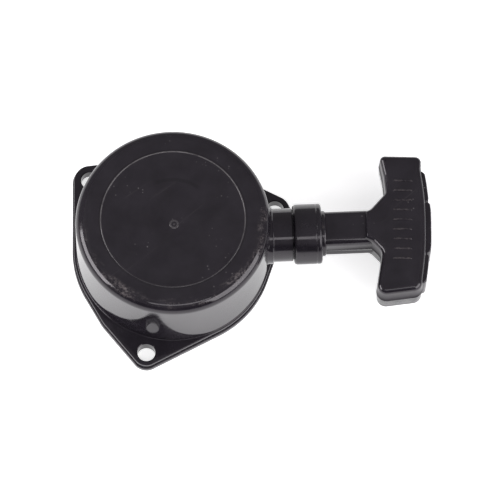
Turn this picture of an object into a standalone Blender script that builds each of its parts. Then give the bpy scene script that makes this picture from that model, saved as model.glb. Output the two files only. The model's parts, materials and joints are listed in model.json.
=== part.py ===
"""Recoil starter for a small two-stroke engine.

Every size below is in millimetres. The pieces are placed from the drum's axis on the mounting face:
+Z points away from the engine and +X along the rope neck. At the end the whole assembly is moved so that
its bounding box is centred on the origin and stands on Z = 0.
"""
import math

import bmesh
import bpy
from mathutils import Matrix, Vector

MM = 0.001
GAP = 0.3                     # between pieces that touch

# Drum
DRUM_HEIGHT = 44.0
DRUM_RADIUS = 43.35           # at the rim
DRUM_BASE_RADIUS = 43.4       # at the flange, with the mould's draft
RIM_ROUNDING = 5.2
WALL = 2.5
ROOF = 2.6

# Flange with its three bolt ears: (angle in degrees, distance of the hole from the axis, radius of the ear)
FLANGE_RADIUS = 45.0
FLANGE_CENTRE = (-0.33, 0.12)
FLANGE_THICKNESS = 6.0
FLANGE_STEP_HEIGHT = 3.0      # the lower half of the flange's edge stands prouder
FLANGE_STEP = 0.6
EARS = ((136.3, 50.1, 7.8), (254.0, 50.8, 6.7), (20.15, 49.6, 7.15))
SIDE_BULGE = (236.9, 26.85, 21.9)    # rounds out the straight side before the second ear
BOLT_HOLE_RADIUS = 4.0

# Neck, on +X
NECK_Z = 18.0
NECK_RADIUS = 11.95
NECK_PAD_RADIUS = 12.7
NECK_PAD_END = 44.5
NECK_END = 60.0
NECK_BORE_RADIUS = 7.5
COLLAR_START = 53.7
COLLAR_END = 66.5
COLLAR_RADIUS = 13.55
COLLAR_BORE_RADIUS = 10.9

# Rope and its guide
ROPE_RADIUS = 1.5
ROPE_TURNS = 4
ROPE_PITCH = 3.25             # between the turns, which lie on each other
ROPE_OUTER_TURN = 33.3
BUSH_START = 40.6
BUSH_END = 58.0
BUSH_RADIUS = 7.2
BUSH_BORE_RADIUS = 2.0
FLARE_RADIUS = 4.6

# Reel, centre post and the spring above the reel
POST_RADIUS = 6.0
POST_BOTTOM = 9.5
SCREW_HOLE_RADIUS = 3.2
SCREW_DEPTH = 16.0
REEL_RADIUS = 37.0
REEL_BORE_RADIUS = 6.4
GROOVE_FLOOR = 21.6
GROOVE_WIDTH = 4.2
REEL_FLANGE = 2.2
REEL_BOTTOM = 10.6
REEL_HUB_RADIUS = 19.5
REEL_SHOULDER_RADIUS = 14.0
ARBOR_RADIUS = 9.6
ARBOR_TOP = 39.6
SPRING_RING_OUTER = 33.2
SPRING_RING_INNER = 31.4
SPRING_RING_BOTTOM = 30.8
SPRING_CASE_RADIUS = 31.0
SHEET = 0.6
SPRING_TURNS = 6
SPRING_THICKNESS = 0.7
SPRING_BOTTOM = 31.4
SPRING_TOP = 40.1
SPRING_INNER_RADIUS = 10.6
SPRING_OUTER_RADIUS = 29.7
REEL_KNOT_RADIUS = 2.7
REEL_KNOT_HEIGHT = 11.2
REEL_KNOT_ANGLE = math.radians(150)
REEL_KNOT_DISTANCE = 15.2
REEL_KNOT_POCKET = 3.6
ROPE_TAIL = 11.5              # straight part of the reel's rope, past the tangent

# Pawls under the reel
PAWL_PIVOT_RADIUS = 15.0
PAWL_BOTTOM = 5.9
PAWL_TOP = 10.2
PAWL_EYE_RADIUS = 3.4
PAWL_LENGTH = 14.0
PIN_RADIUS = 1.5
PIN_HEAD_RADIUS = 2.6
PIN_HEAD_BOTTOM = 3.1
PIN_HEAD_THICKNESS = 0.7
PAWL_SPRING_RADIUS = 2.2
PAWL_SPRING_WIRE = 0.22
PAWL_SPRING_BOTTOM = 4.3
PAWL_SPRING_RISE = 1.1
GUIDE_RADIUS = 12.0
GUIDE_BOTTOM = 3.5
GUIDE_TOP = 5.3
BRAKE_SPRING_RADIUS = 7.2
BRAKE_SPRING_WIRE = 0.5
BRAKE_SPRING_RISE = 3.2
SCREW_RADIUS = 2.9
SCREW_HEAD_RADIUS = 5.0
SCREW_HEAD_BOTTOM = 0.6
SCREW_LENGTH = 13.0           # of its thread in the post
WASHER_RADIUS = 6.5
WASHER_THICKNESS = 0.5

# Handle
STEM_END = 88.0               # where the stem runs into the bar
STEM_WIDTH = 16.3
STEM_ROUNDING = 3.4
FOOT_START = 60.6
FOOT_END = 68.3
FOOT_RADIUS = 10.2
BAR_RAKE = math.radians(-3.5)
BAR_HALF_HEIGHT = 10.0
BAR_ROUNDING = 2.2
BAR_OUTER_X = 25.4
BAR_OUTER_RADIUS = 143.6      # of the outer side's bulge
BAR_NEAR_EXTRA = 0.034        # the arm on -Y gets wider by this much for each millimetre of its length
CAP_HALF_LENGTH = 26.6
CAP_HALF_HEIGHT = 7.0
CAP_INNER_X = 23.2
CAP_PROUD = 2.2
CAP_NOTCH_Y = 12.5
CAP_NOTCH_WIDTH = 1.2
CAP_NOTCH_DEPTH = 1.3
POCKET_START = 11.0
KNOT_RADIUS = 4.0
ROPE_HOLE_RADIUS = 2.1

MOULDED_BLACK = (0.012, 0.011, 0.013)
BLACK_CAP = (0.016, 0.015, 0.017)
NYLON = (0.55, 0.53, 0.48)
STEEL = (0.42, 0.42, 0.43)
BLUED_STEEL = (0.16, 0.17, 0.20)
ZINC = (0.60, 0.58, 0.52)
REEL_GREY = (0.09, 0.09, 0.10)
ROPE_WHITE = (0.70, 0.69, 0.66)

materials = {}
collections = {}


def clear_scene():
    for item in list(bpy.data.objects):
        bpy.data.objects.remove(item, do_unlink=True)


def collection(name):
    if name not in collections:
        collections[name] = bpy.data.collections.new(name)
        bpy.context.scene.collection.children.link(collections[name])
    return collections[name]


def material(name, colour, roughness, metallic=0.0):
    if name not in materials:
        made = bpy.data.materials.new(name)
        made.use_nodes = True
        shader = made.node_tree.nodes["Principled BSDF"]
        shader.inputs["Base Color"].default_value = (*colour, 1.0)
        shader.inputs["Roughness"].default_value = roughness
        shader.inputs["Metallic"].default_value = metallic
        made.diffuse_color = (*colour, 1.0)
        materials[name] = made
    return materials[name]


def empty(name, parent=None, location=(0, 0, 0), rotation=(0, 0, 0)):
    """A named frame in millimetres, relative to its parent."""
    made = bpy.data.objects.new(name, None)
    collection("recoil_starter").objects.link(made)
    made.parent = parent
    made.location = Vector(location) * MM
    made.rotation_euler = rotation
    made.empty_display_size = 10 * MM
    return made


def place(item, parent, location=(0, 0, 0), rotation=(0, 0, 0), finish=None):
    """Put a finished piece in the object's collection."""
    collection("recoil_starter").objects.link(item)
    item.parent = parent
    item.location = Vector(location) * MM
    item.rotation_euler = rotation
    if finish:
        item.data.materials.append(finish)
    return item


def helper(item, parent, location=(0, 0, 0), rotation=(0, 0, 0)):
    """Put a shape that is only cut from or joined to another one among the cutters."""
    collection("cutters").objects.link(item)
    item.parent = parent
    item.location = Vector(location) * MM
    item.rotation_euler = rotation
    item.hide_render = True
    item.display_type = "WIRE"
    return item


def boolean(target, other, operation):
    step = target.modifiers.new(f"{operation.lower()}_{other.name}", "BOOLEAN")
    step.operation = operation
    step.object = other
    step.solver = "EXACT"


def turned(name, profile, segments=48, closed=False):
    """A profile of (radius, height) points, screwed round Z. It runs down its outer side."""
    mesh = bpy.data.meshes.new(name)
    points = [(radius * MM, 0, height * MM) for radius, height in profile]
    edges = [(i, i + 1) for i in range(len(points) - 1)]
    if closed:
        edges.append((len(points) - 1, 0))
    mesh.from_pydata(points, edges, [])
    item = bpy.data.objects.new(name, mesh)
    screw = item.modifiers.new("screw", "SCREW")
    screw.steps = segments
    screw.render_steps = segments
    screw.use_merge_vertices = True
    screw.merge_threshold = 0.00001
    screw.use_smooth_shade = False
    return item


def ring(name, inner, outer, low, high, segments=48):
    """A plain ring or sleeve."""
    return turned(name, [(outer, high), (outer, low), (inner, low), (inner, high)], segments, closed=True)


def disc(name, radius, low, high, segments=32):
    """A plain solid disc or pin."""
    return turned(name, [(0, high), (radius, high), (radius, low), (0, low)], segments)


def arc(centre, radius, start, end, steps):
    """Points on an arc, with angles in degrees."""
    points = []
    for i in range(steps + 1):
        angle = math.radians(start + (end - start) * i / steps)
        points.append((centre[0] + radius * math.cos(angle), centre[1] + radius * math.sin(angle)))
    return points


def solid_mesh_of(curve_item):
    """The curve's evaluated mesh with its caps welded on."""
    collection("cutters").objects.link(curve_item)
    bpy.context.view_layer.update()
    evaluated = curve_item.evaluated_get(bpy.context.evaluated_depsgraph_get())
    mesh = bpy.data.meshes.new_from_object(evaluated)
    shape = bmesh.new()
    shape.from_mesh(mesh)
    bmesh.ops.remove_doubles(shape, verts=shape.verts, dist=0.00001)
    bmesh.ops.recalc_face_normals(shape, faces=shape.faces)
    shape.to_mesh(mesh)
    shape.free()
    bpy.data.objects.remove(curve_item, do_unlink=True)
    return mesh


def plate(name, outline, low, high):
    """A flat outline with a thickness from low to high on Z."""
    curve = bpy.data.curves.new(name + "_outline", "CURVE")
    curve.dimensions = "2D"
    curve.fill_mode = "BOTH"
    curve.extrude = (high - low) / 2 * MM
    spline = curve.splines.new("POLY")
    spline.points.add(len(outline) - 1)
    for point, (x, y) in zip(spline.points, outline):
        point.co = (x * MM, y * MM, 0, 1)
    spline.use_cyclic_u = True
    mesh = solid_mesh_of(bpy.data.objects.new(name + "_curve", curve))
    mesh.name = name
    for vertex in mesh.vertices:
        vertex.co.z += (low + high) / 2 * MM
    return bpy.data.objects.new(name, mesh)


def box(name, low, high):
    """A box between two corners."""
    mesh = bpy.data.meshes.new(name)
    shape = bmesh.new()
    bmesh.ops.create_cube(shape, size=1.0)
    for vertex in shape.verts:
        for axis in range(3):
            middle = (low[axis] + high[axis]) / 2
            vertex.co[axis] = (middle + vertex.co[axis] * (high[axis] - low[axis])) * MM
    shape.to_mesh(mesh)
    shape.free()
    return bpy.data.objects.new(name, mesh)


def rounded_by(item, width, segments=2):
    bevel = item.modifiers.new("rounding", "BEVEL")
    bevel.width = width * MM
    bevel.segments = segments
    bevel.limit_method = "ANGLE"
    bevel.angle_limit = math.radians(40)
    return item


def tube(name, points, radius, resolution=2):
    """A round rod or rope along a list of points."""
    curve = bpy.data.curves.new(name, "CURVE")
    curve.dimensions = "3D"
    curve.bevel_depth = radius * MM
    curve.bevel_resolution = resolution
    curve.use_fill_caps = True
    spline = curve.splines.new("POLY")
    spline.points.add(len(points) - 1)
    for point, place_mm in zip(spline.points, points):
        point.co = (*(Vector(place_mm) * MM), 1)
    return bpy.data.objects.new(name, curve)


def rounded_corners(corners, steps):
    """A closed anticlockwise outline from its corners, each given as (x, y, rounding)."""
    outline = []
    for i, (x, y, rounding) in enumerate(corners):
        here = Vector((x, y))
        if not rounding:
            outline.append(here)
            continue
        before = (Vector(corners[i - 1][:2]) - here).normalized()
        after = (Vector(corners[(i + 1) % len(corners)][:2]) - here).normalized()
        half = before.angle(after) / 2
        centre = here + (before + after).normalized() * (rounding / math.sin(half))
        start = here + before * (rounding / math.tan(half)) - centre
        end = here + after * (rounding / math.tan(half)) - centre
        sweep = -start.angle_signed(end)
        for k in range(steps + 1):
            spoke = start.copy()
            spoke.rotate(Matrix.Rotation(sweep * k / steps, 2))
            outline.append(centre + spoke)
    return outline


def flange_outline(offset):
    """The flange's edge: the tight loop round the disc and the three ears, moved out by an offset."""
    circles = [(Vector(FLANGE_CENTRE), FLANGE_RADIUS)]
    for angle, distance, radius in (*EARS, SIDE_BULGE):
        turn = math.radians(angle)
        circles.append((Vector((math.cos(turn), math.sin(turn))) * distance, radius))
    outline = []
    steps = 96
    for i in range(steps):
        turn = math.tau * i / steps
        normal = Vector((math.cos(turn), math.sin(turn)))
        centre, radius = max(circles, key=lambda circle: circle[0].dot(normal) + circle[1])
        outline.append(centre + normal * (radius + offset))
    return outline


def drum_profile():
    """The drum's outside, as a solid whose foot is buried in the flange."""
    rim = arc((DRUM_RADIUS - RIM_ROUNDING, DRUM_HEIGHT - RIM_ROUNDING), RIM_ROUNDING, 90, 0, 4)
    foot = FLANGE_THICKNESS / 2
    return [(0, DRUM_HEIGHT), *rim, (DRUM_BASE_RADIUS, foot), (0, foot)]


def cavity_profile():
    """The space inside the drum, round the centre post, its screw hole and the spring's ring."""
    ceiling = DRUM_HEIGHT - ROOF
    return [
        (0, POST_BOTTOM + SCREW_DEPTH), (SCREW_HOLE_RADIUS, POST_BOTTOM + SCREW_DEPTH),
        (SCREW_HOLE_RADIUS, POST_BOTTOM), (POST_RADIUS, POST_BOTTOM), (POST_RADIUS, ceiling),
        (SPRING_RING_INNER, ceiling), (SPRING_RING_INNER, SPRING_RING_BOTTOM),
        (SPRING_RING_OUTER, SPRING_RING_BOTTOM), (SPRING_RING_OUTER, ceiling),
        (DRUM_RADIUS - WALL, ceiling), (DRUM_BASE_RADIUS - WALL, -1), (0, -1),
    ]


def build_case(frame, neck_frame):
    """Drum, stepped flange and neck in one moulding, with the bolt holes and the neck's bore."""
    black = material("moulded_black", MOULDED_BLACK, 0.28)
    case = place(turned("starter_case", drum_profile(), 64), frame, finish=black)

    lower = helper(plate("flange_lower", flange_outline(0), 0, FLANGE_STEP_HEIGHT + 0.2), frame)
    upper_outline = flange_outline(-FLANGE_STEP)
    upper = helper(plate("flange_upper", upper_outline, FLANGE_STEP_HEIGHT, FLANGE_THICKNESS), frame)
    boolean(lower, upper, "UNION")
    for number, (angle, distance, _) in enumerate(EARS, start=1):
        turn = math.radians(angle)
        centre = (distance * math.cos(turn), distance * math.sin(turn), 0)
        hole = disc(f"bolt_hole_{number}", BOLT_HOLE_RADIUS, -1, FLANGE_THICKNESS + 1, 24)
        boolean(lower, helper(hole, frame, centre), "DIFFERENCE")
    boolean(case, lower, "UNION")

    neck = [
        (0, NECK_END), (COLLAR_BORE_RADIUS - GAP, NECK_END), (COLLAR_BORE_RADIUS - GAP, COLLAR_START - GAP),
        (NECK_RADIUS, COLLAR_START - GAP), (NECK_RADIUS, NECK_PAD_END), (NECK_PAD_RADIUS - 0.4, NECK_PAD_END),
        (NECK_PAD_RADIUS, NECK_PAD_END - 0.4), (NECK_PAD_RADIUS - 0.6, 38.0), (0, 38.0),
    ]
    boolean(case, helper(turned("neck", neck, 40), neck_frame), "UNION")
    boolean(case, helper(turned("drum_cavity", cavity_profile(), 64), frame), "DIFFERENCE")
    boolean(case, helper(disc("neck_bore", NECK_BORE_RADIUS, 36, NECK_END + 1, 40), neck_frame), "DIFFERENCE")


def build_outlet(neck_frame):
    """Collar pressed on the neck's end, and the rope's guide bush inside the neck."""
    collar = [
        (COLLAR_RADIUS - 1.5, COLLAR_END), (COLLAR_RADIUS, COLLAR_END - 1.2), (COLLAR_RADIUS, COLLAR_START + 1.8),
        (COLLAR_RADIUS - 1.5, COLLAR_START), (COLLAR_BORE_RADIUS, COLLAR_START),
        (COLLAR_BORE_RADIUS, COLLAR_END - 1.0), (COLLAR_BORE_RADIUS + 0.8, COLLAR_END),
    ]
    black = material("moulded_black", MOULDED_BLACK, 0.28)
    place(turned("outlet_collar", collar, 40, closed=True), neck_frame, finish=black)

    flare = arc((BUSH_BORE_RADIUS + FLARE_RADIUS, BUSH_START + FLARE_RADIUS), FLARE_RADIUS, 270, 180, 5)
    bush = [(BUSH_RADIUS, BUSH_END), (BUSH_RADIUS, BUSH_START), *flare, (BUSH_BORE_RADIUS, BUSH_END)]
    place(turned("rope_bush", bush, 24, closed=True), neck_frame, finish=material("nylon", NYLON, 0.4))


def build_spring(frame):
    """Sheet cup, spiral spring and its cover, under the drum's roof."""
    cup_top = DRUM_HEIGHT - ROOF - GAP
    cup_hole = ARBOR_RADIUS - 2.5
    cup = [
        (SPRING_CASE_RADIUS, cup_top), (SPRING_CASE_RADIUS, SPRING_RING_BOTTOM),
        (SPRING_CASE_RADIUS - SHEET, SPRING_RING_BOTTOM), (SPRING_CASE_RADIUS - SHEET, cup_top - SHEET),
        (cup_hole, cup_top - SHEET), (cup_hole, cup_top),
    ]
    zinc = material("zinc_plate", ZINC, 0.35, 1.0)
    place(turned("spring_case", cup, 48, closed=True), frame, finish=zinc)
    cover_top = SPRING_RING_BOTTOM - GAP
    cover = ring("spring_cover", ARBOR_RADIUS + 1.4, SPRING_RING_OUTER, cover_top - SHEET, cover_top)
    place(cover, frame, finish=zinc)

    strip = []
    steps = SPRING_TURNS * 20
    growth = SPRING_OUTER_RADIUS - SPRING_INNER_RADIUS - SPRING_THICKNESS
    for side, order in ((SPRING_THICKNESS, range(steps + 1)), (0.0, range(steps, -1, -1))):
        for i in order:
            turn = math.tau * SPRING_TURNS * i / steps
            radius = SPRING_INNER_RADIUS + growth * i / steps + side
            strip.append((radius * math.cos(turn), radius * math.sin(turn)))
    spring = plate("mainspring", strip, SPRING_BOTTOM, SPRING_TOP)
    place(spring, frame, finish=material("blued_steel", BLUED_STEEL, 0.3, 1.0))


def two_turns(radius, bottom, rise, steps):
    """The wire of a coil spring of two turns."""
    coil = []
    for i in range(2 * steps + 1):
        turn = math.tau * i / steps
        coil.append((radius * math.cos(turn), radius * math.sin(turn), bottom + rise * i / (2 * steps)))
    return coil


def reel_profile():
    low = NECK_Z - GROOVE_WIDTH / 2
    high = NECK_Z + GROOVE_WIDTH / 2
    return [
        (ARBOR_RADIUS, ARBOR_TOP), (ARBOR_RADIUS, 29.0), (REEL_SHOULDER_RADIUS, 29.0),
        (REEL_SHOULDER_RADIUS, high + REEL_FLANGE), (REEL_RADIUS, high + REEL_FLANGE), (REEL_RADIUS, high + 0.6),
        (GROOVE_FLOOR + 3, high), (GROOVE_FLOOR - 3, high), (GROOVE_FLOOR - 3, low), (GROOVE_FLOOR + 3, low),
        (REEL_RADIUS, low - 0.6), (REEL_RADIUS, low - REEL_FLANGE), (REEL_HUB_RADIUS, low - REEL_FLANGE),
        (REEL_HUB_RADIUS, REEL_BOTTOM), (REEL_BORE_RADIUS, REEL_BOTTOM), (REEL_BORE_RADIUS, ARBOR_TOP),
    ]


def rope_geometry():
    """Where the rope leaves the outer turn, where it meets the bush's flare, and its direction between them.

    The run is the inner tangent of two circles: the outer turn round the drum's axis, and the flare's centre.
    """
    bend = FLARE_RADIUS + BUSH_BORE_RADIUS
    flare_centre = Vector((BUSH_START + FLARE_RADIUS, bend))
    lean = flare_centre.angle_signed(Vector((1, 0)))
    swing = lean + math.acos((ROPE_OUTER_TURN + bend) / flare_centre.length)
    normal = Vector((math.cos(swing), math.sin(swing)))
    return normal * ROPE_OUTER_TURN, flare_centre - normal * bend, flare_centre, bend, swing


def run_direction(swing):
    """The way the rope runs from the outer turn to the bush."""
    return Vector((math.sin(swing), -math.cos(swing)))


def build_reel(reel_frame):
    """Reel, the rope's turns in its groove, its inner knot, and the pawls' pins and springs."""
    reel = place(turned("rope_reel", reel_profile(), 56, closed=True), reel_frame,
                 finish=material("reel_grey", REEL_GREY, 0.45))
    pocket_top = NECK_Z + GROOVE_WIDTH / 2 + 1.0
    knot_pocket = disc("knot_pocket", REEL_KNOT_POCKET, REEL_BOTTOM - 1.6, pocket_top, 16)
    spoke = Vector((math.cos(REEL_KNOT_ANGLE), math.sin(REEL_KNOT_ANGLE), 0))
    knot_place = spoke * REEL_KNOT_DISTANCE
    boolean(reel, helper(knot_pocket, reel_frame, knot_place), "DIFFERENCE")

    leave, _, _, _, swing = rope_geometry()
    inner = ROPE_OUTER_TURN - ROPE_PITCH * ROPE_TURNS
    steps = ROPE_TURNS * 22
    route = []
    for i in range(steps + 1):
        turn = swing + math.tau * ROPE_TURNS * (1 - i / steps)
        radius = inner + ROPE_PITCH * ROPE_TURNS * i / steps
        route.append((radius * math.cos(turn), radius * math.sin(turn), NECK_Z))
    end = leave + run_direction(swing) * ROPE_TAIL
    route.append((end.x, end.y, NECK_Z))
    rope = material("rope_white", ROPE_WHITE, 0.85)
    place(tube("rope_wound", route, ROPE_RADIUS), reel_frame, finish=rope)

    ball = arc((0, REEL_KNOT_HEIGHT), REEL_KNOT_RADIUS, 60, -60, 4)
    knot_ends = (REEL_KNOT_HEIGHT + 2.4, REEL_KNOT_HEIGHT - 2.4)
    knot = turned("reel_knot", [(0, knot_ends[0]), *ball, (0, knot_ends[1])], 16)
    place(knot, reel_frame, knot_place, finish=rope)

    steel = material("steel", STEEL, 0.3, 1.0)
    for number, side in ((1, 1), (2, -1)):
        pivot = (0, side * PAWL_PIVOT_RADIUS, 0)
        pin_top = NECK_Z - GROOVE_WIDTH / 2 - 1.2
        hole = disc(f"pin_hole_{number}", PIN_RADIUS + GAP, REEL_BOTTOM - 1.6, pin_top + 0.4, 16)
        boolean(reel, helper(hole, reel_frame, pivot), "DIFFERENCE")
        pin = [
            (0, pin_top), (PIN_RADIUS, pin_top), (PIN_RADIUS, PIN_HEAD_BOTTOM + PIN_HEAD_THICKNESS),
            (PIN_HEAD_RADIUS, PIN_HEAD_BOTTOM + PIN_HEAD_THICKNESS), (PIN_HEAD_RADIUS, PIN_HEAD_BOTTOM),
            (0, PIN_HEAD_BOTTOM),
        ]
        place(turned(f"pawl_pin_{number}", pin, 16), reel_frame, pivot, finish=steel)
        coil = two_turns(PAWL_SPRING_RADIUS, PAWL_SPRING_BOTTOM, PAWL_SPRING_RISE, 12)
        place(tube(f"pawl_spring_{number}", coil, PAWL_SPRING_WIRE, 1), reel_frame, pivot, finish=steel)


def pawl_outline():
    """Round eye on the pivot, running along +X to a square nose that bites outwards."""
    eye = arc((0, 0), PAWL_EYE_RADIUS, 100, 262, 10)
    nose = [(PAWL_LENGTH, -3.2), (PAWL_LENGTH + 1.0, 0.6), (PAWL_LENGTH - 3.6, 2.0)]
    return [*eye, (PAWL_LENGTH * 0.55, -3.0), *nose]


def build_pawls(reel_frame):
    steel = material("steel", STEEL, 0.3, 1.0)
    for number, side in ((1, 1), (2, -1)):
        turn = 0 if side > 0 else math.pi
        axis = empty(f"pawl_{number}_axis", reel_frame, (0, side * PAWL_PIVOT_RADIUS, 0), (0, 0, turn))
        pawl = place(plate(f"pawl_{number}", pawl_outline(), PAWL_BOTTOM, PAWL_TOP), axis, finish=steel)
        eye = disc(f"pawl_eye_{number}", PIN_RADIUS + GAP, PAWL_BOTTOM - 1, PAWL_TOP + 1, 16)
        boolean(pawl, helper(eye, axis), "DIFFERENCE")


def guide_lug_outline():
    """A lug on the guide, just inside a pawl."""
    outer = arc((0, 0), GUIDE_RADIUS - 0.2, 56, 34, 3)
    return [*outer, (8.3, 5.9), (5.8, 8.2)]


def build_guide(guide_frame, frame):
    """Cam plate with its two lugs, the friction spring that drags it, and the screw that holds the stack."""
    steel = material("steel", STEEL, 0.3, 1.0)
    zinc = material("zinc_plate", ZINC, 0.35, 1.0)
    guide = place(ring("pawl_guide", SCREW_RADIUS + GAP, GUIDE_RADIUS, GUIDE_BOTTOM, GUIDE_TOP, 40), guide_frame,
                  finish=zinc)
    for number, turn in ((1, 0.0), (2, math.pi)):
        lug = plate(f"guide_lug_{number}", guide_lug_outline(), GUIDE_TOP - 0.5, PAWL_TOP - 0.6)
        boolean(guide, helper(lug, guide_frame, rotation=(0, 0, turn)), "UNION")
    coil = two_turns(BRAKE_SPRING_RADIUS, GUIDE_TOP + 0.9, BRAKE_SPRING_RISE, 20)
    place(tube("brake_spring", coil, BRAKE_SPRING_WIRE), guide_frame, finish=steel)

    washer_top = GUIDE_BOTTOM - GAP
    washer_bottom = washer_top - WASHER_THICKNESS
    washer = ring("screw_washer", SCREW_RADIUS + GAP, WASHER_RADIUS, washer_bottom, washer_top, 32)
    place(washer, frame, finish=zinc)
    head_top = washer_bottom - GAP
    shank_top = POST_BOTTOM + SCREW_LENGTH
    shank = [(0, shank_top), (SCREW_RADIUS - 0.4, shank_top), (SCREW_RADIUS, shank_top - 0.6)]
    head = [
        (SCREW_HEAD_RADIUS, head_top), (SCREW_HEAD_RADIUS, head_top - 1.2),
        (SCREW_HEAD_RADIUS - 0.8, SCREW_HEAD_BOTTOM), (0, SCREW_HEAD_BOTTOM),
    ]
    screw = turned("centre_screw", [*shank, (SCREW_RADIUS, head_top), *head], 24)
    screw_item = place(screw, frame, finish=zinc)
    slot = helper(box("screw_slot", (-0.6, -6, 0), (0.6, 6, SCREW_HEAD_BOTTOM + 0.8)), frame)
    boolean(screw_item, slot, "DIFFERENCE")


def bar_edge_x(y):
    """The bar's bulging outer side at a distance along the bar."""
    bulge = math.sqrt(BAR_OUTER_RADIUS ** 2 - y ** 2) - BAR_OUTER_RADIUS
    return BAR_OUTER_X + bulge + BAR_NEAR_EXTRA * max(0.0, -y)


def bar_outline():
    """The bar seen from above with the stem's end, anticlockwise. Its arms flare towards their ends."""
    half = STEM_WIDTH / 2
    near = [(-2.5, 1.6 - half, 0), (1.0, 0.2 - half, 3.5), (5.5, -12.6, 4.0)]
    near += [(2.6, -33.8, 4.4), (23.6, -30.6, 4.4)]
    outer = [(bar_edge_x(y), y, 0) for y in (-24, -18, -12, -6, 0, 6, 12, 18, 24)]
    far = [(23.1, 33.5, 3.0), (3.2, 33.5, 2.4), (4.4, 29.0, 4.0), (5.6, 23.5, 0)]
    far += [(6.5, 15.6, 2.5), (0.1, half - 0.2, 5.0), (-2.5, half - 1.6, 0)]
    return rounded_corners([*near, *outer, *far], 4)


def cap_outline():
    """The cap seen from above, anticlockwise: a pad between two wings, with a slit beside each."""
    slit = (CAP_NOTCH_Y - CAP_NOTCH_WIDTH / 2, CAP_NOTCH_Y + CAP_NOTCH_WIDTH / 2)
    side = [(y, CAP_PROUD) for y in (0, 6, slit[0])]
    side += [(y, CAP_PROUD - CAP_NOTCH_DEPTH) for y in slit]
    side += [(y, CAP_PROUD) for y in (slit[1], 17, 22, CAP_HALF_LENGTH)]
    near = [(bar_edge_x(-y) + proud, -y) for y, proud in side]
    far = [(bar_edge_x(y) + proud, y) for y, proud in side]
    return [(CAP_INNER_X, -CAP_HALF_LENGTH), *near[:0:-1], *far, (CAP_INNER_X, CAP_HALF_LENGTH)]


def build_handle(handle_frame):
    """T-handle: bar, square stem and round foot in one moulding, hollow for the rope and its knot."""
    grip_black = material("grip_black", MOULDED_BLACK, 0.3)
    local = {"parent": handle_frame, "location": (STEM_END, 0, 0), "rotation": (0, 0, BAR_RAKE)}
    bar = plate("handle_grip", bar_outline(), -BAR_HALF_HEIGHT, BAR_HALF_HEIGHT)
    grip = place(bar, **local, finish=grip_black)
    rounded_by(grip, BAR_ROUNDING)

    half = STEM_WIDTH / 2
    stem = helper(box("stem", (FOOT_END - 1, -half, -half), (STEM_END + 8, half, half)), handle_frame)
    rounded_by(stem, STEM_ROUNDING, 3)
    boolean(grip, stem, "UNION")
    sideways = (0, math.pi / 2, 0)
    foot = [
        (0, FOOT_END), (FOOT_RADIUS - 0.8, FOOT_END), (FOOT_RADIUS, FOOT_END - 0.8),
        (FOOT_RADIUS, FOOT_START + 0.8), (FOOT_RADIUS - 0.8, FOOT_START), (0, FOOT_START),
    ]
    boolean(grip, helper(turned("stem_foot", foot, 32), handle_frame, rotation=sideways), "UNION")

    recess = (CAP_HALF_LENGTH + GAP, CAP_HALF_HEIGHT + GAP)
    recess_box = box("cap_recess", (CAP_INNER_X - GAP, -recess[0], -recess[1]), (40, recess[0], recess[1]))
    boolean(grip, helper(recess_box, **local), "DIFFERENCE")
    pocket = box("knot_pocket_box", (POCKET_START, -7, -5.5), (CAP_INNER_X + 1, 7, 5.5))
    boolean(grip, helper(pocket, **local), "DIFFERENCE")
    rope_hole = disc("rope_hole", ROPE_HOLE_RADIUS, FOOT_START - 1, STEM_END + POCKET_START + 2, 16)
    boolean(grip, helper(rope_hole, handle_frame, rotation=sideways), "DIFFERENCE")

    place(plate("handle_cap", cap_outline(), -CAP_HALF_HEIGHT, CAP_HALF_HEIGHT), **local,
          finish=material("cap_black", BLACK_CAP, 0.22))

    washer_start = STEM_END + POCKET_START + 0.6
    washer = ring("knot_washer", ROPE_RADIUS + GAP, 4.4, washer_start, washer_start + 0.8, 24)
    place(washer, handle_frame, rotation=sideways, finish=material("zinc_plate", ZINC, 0.35, 1.0))
    knot_start = washer_start + 0.8 + GAP
    knot = [(0, 2 * KNOT_RADIUS), *arc((0, KNOT_RADIUS), KNOT_RADIUS, 65, -65, 6), (0, 0)]
    rope = material("rope_white", ROPE_WHITE, 0.85)
    place(turned("handle_knot", knot, 20), handle_frame, (knot_start, 0, 0), sideways, rope)

    leave, meet, flare_centre, bend, swing = rope_geometry()
    start = leave + run_direction(swing) * (ROPE_TAIL + GAP)
    bend_points = arc(flare_centre, bend, 180 + math.degrees(swing), 270, 6)
    middle = (start + meet) / 2
    straight = [(x, 0) for x in (52, 60, 70, 80, 90)]
    route = [(start.x, start.y), (middle.x, middle.y), *bend_points, *straight, (knot_start - 0.3, 0)]
    place(tube("rope_lead", [(x, y, 0) for x, y in route], ROPE_RADIUS), handle_frame, finish=rope)


def centre_assembly(frame):
    """Move the whole assembly so that its bounding box is centred on X and Y and stands on Z = 0."""
    bpy.context.view_layer.update()
    graph = bpy.context.evaluated_depsgraph_get()
    low = Vector((math.inf,) * 3)
    high = -low
    for item in collection("recoil_starter").objects:
        if item.type == "EMPTY":
            continue
        solid = item.evaluated_get(graph)
        for corner in solid.to_mesh().vertices:
            place_world = solid.matrix_world @ corner.co
            low = Vector(map(min, low, place_world))
            high = Vector(map(max, high, place_world))
    frame.location = (-(low.x + high.x) / 2, -(low.y + high.y) / 2, -low.z)


def main():
    clear_scene()
    frame = empty("drum_axis")
    neck_frame = empty("neck_axis", frame, (0, 0, NECK_Z), (0, math.pi / 2, 0))
    reel_frame = empty("reel_axis", frame)
    guide_frame = empty("guide_axis", reel_frame)
    handle_frame = empty("handle_axis", frame, (0, 0, NECK_Z))
    build_case(frame, neck_frame)
    build_outlet(neck_frame)
    build_spring(frame)
    build_reel(reel_frame)
    build_pawls(reel_frame)
    build_guide(guide_frame, frame)
    build_handle(handle_frame)
    centre_assembly(frame)


main()
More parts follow.
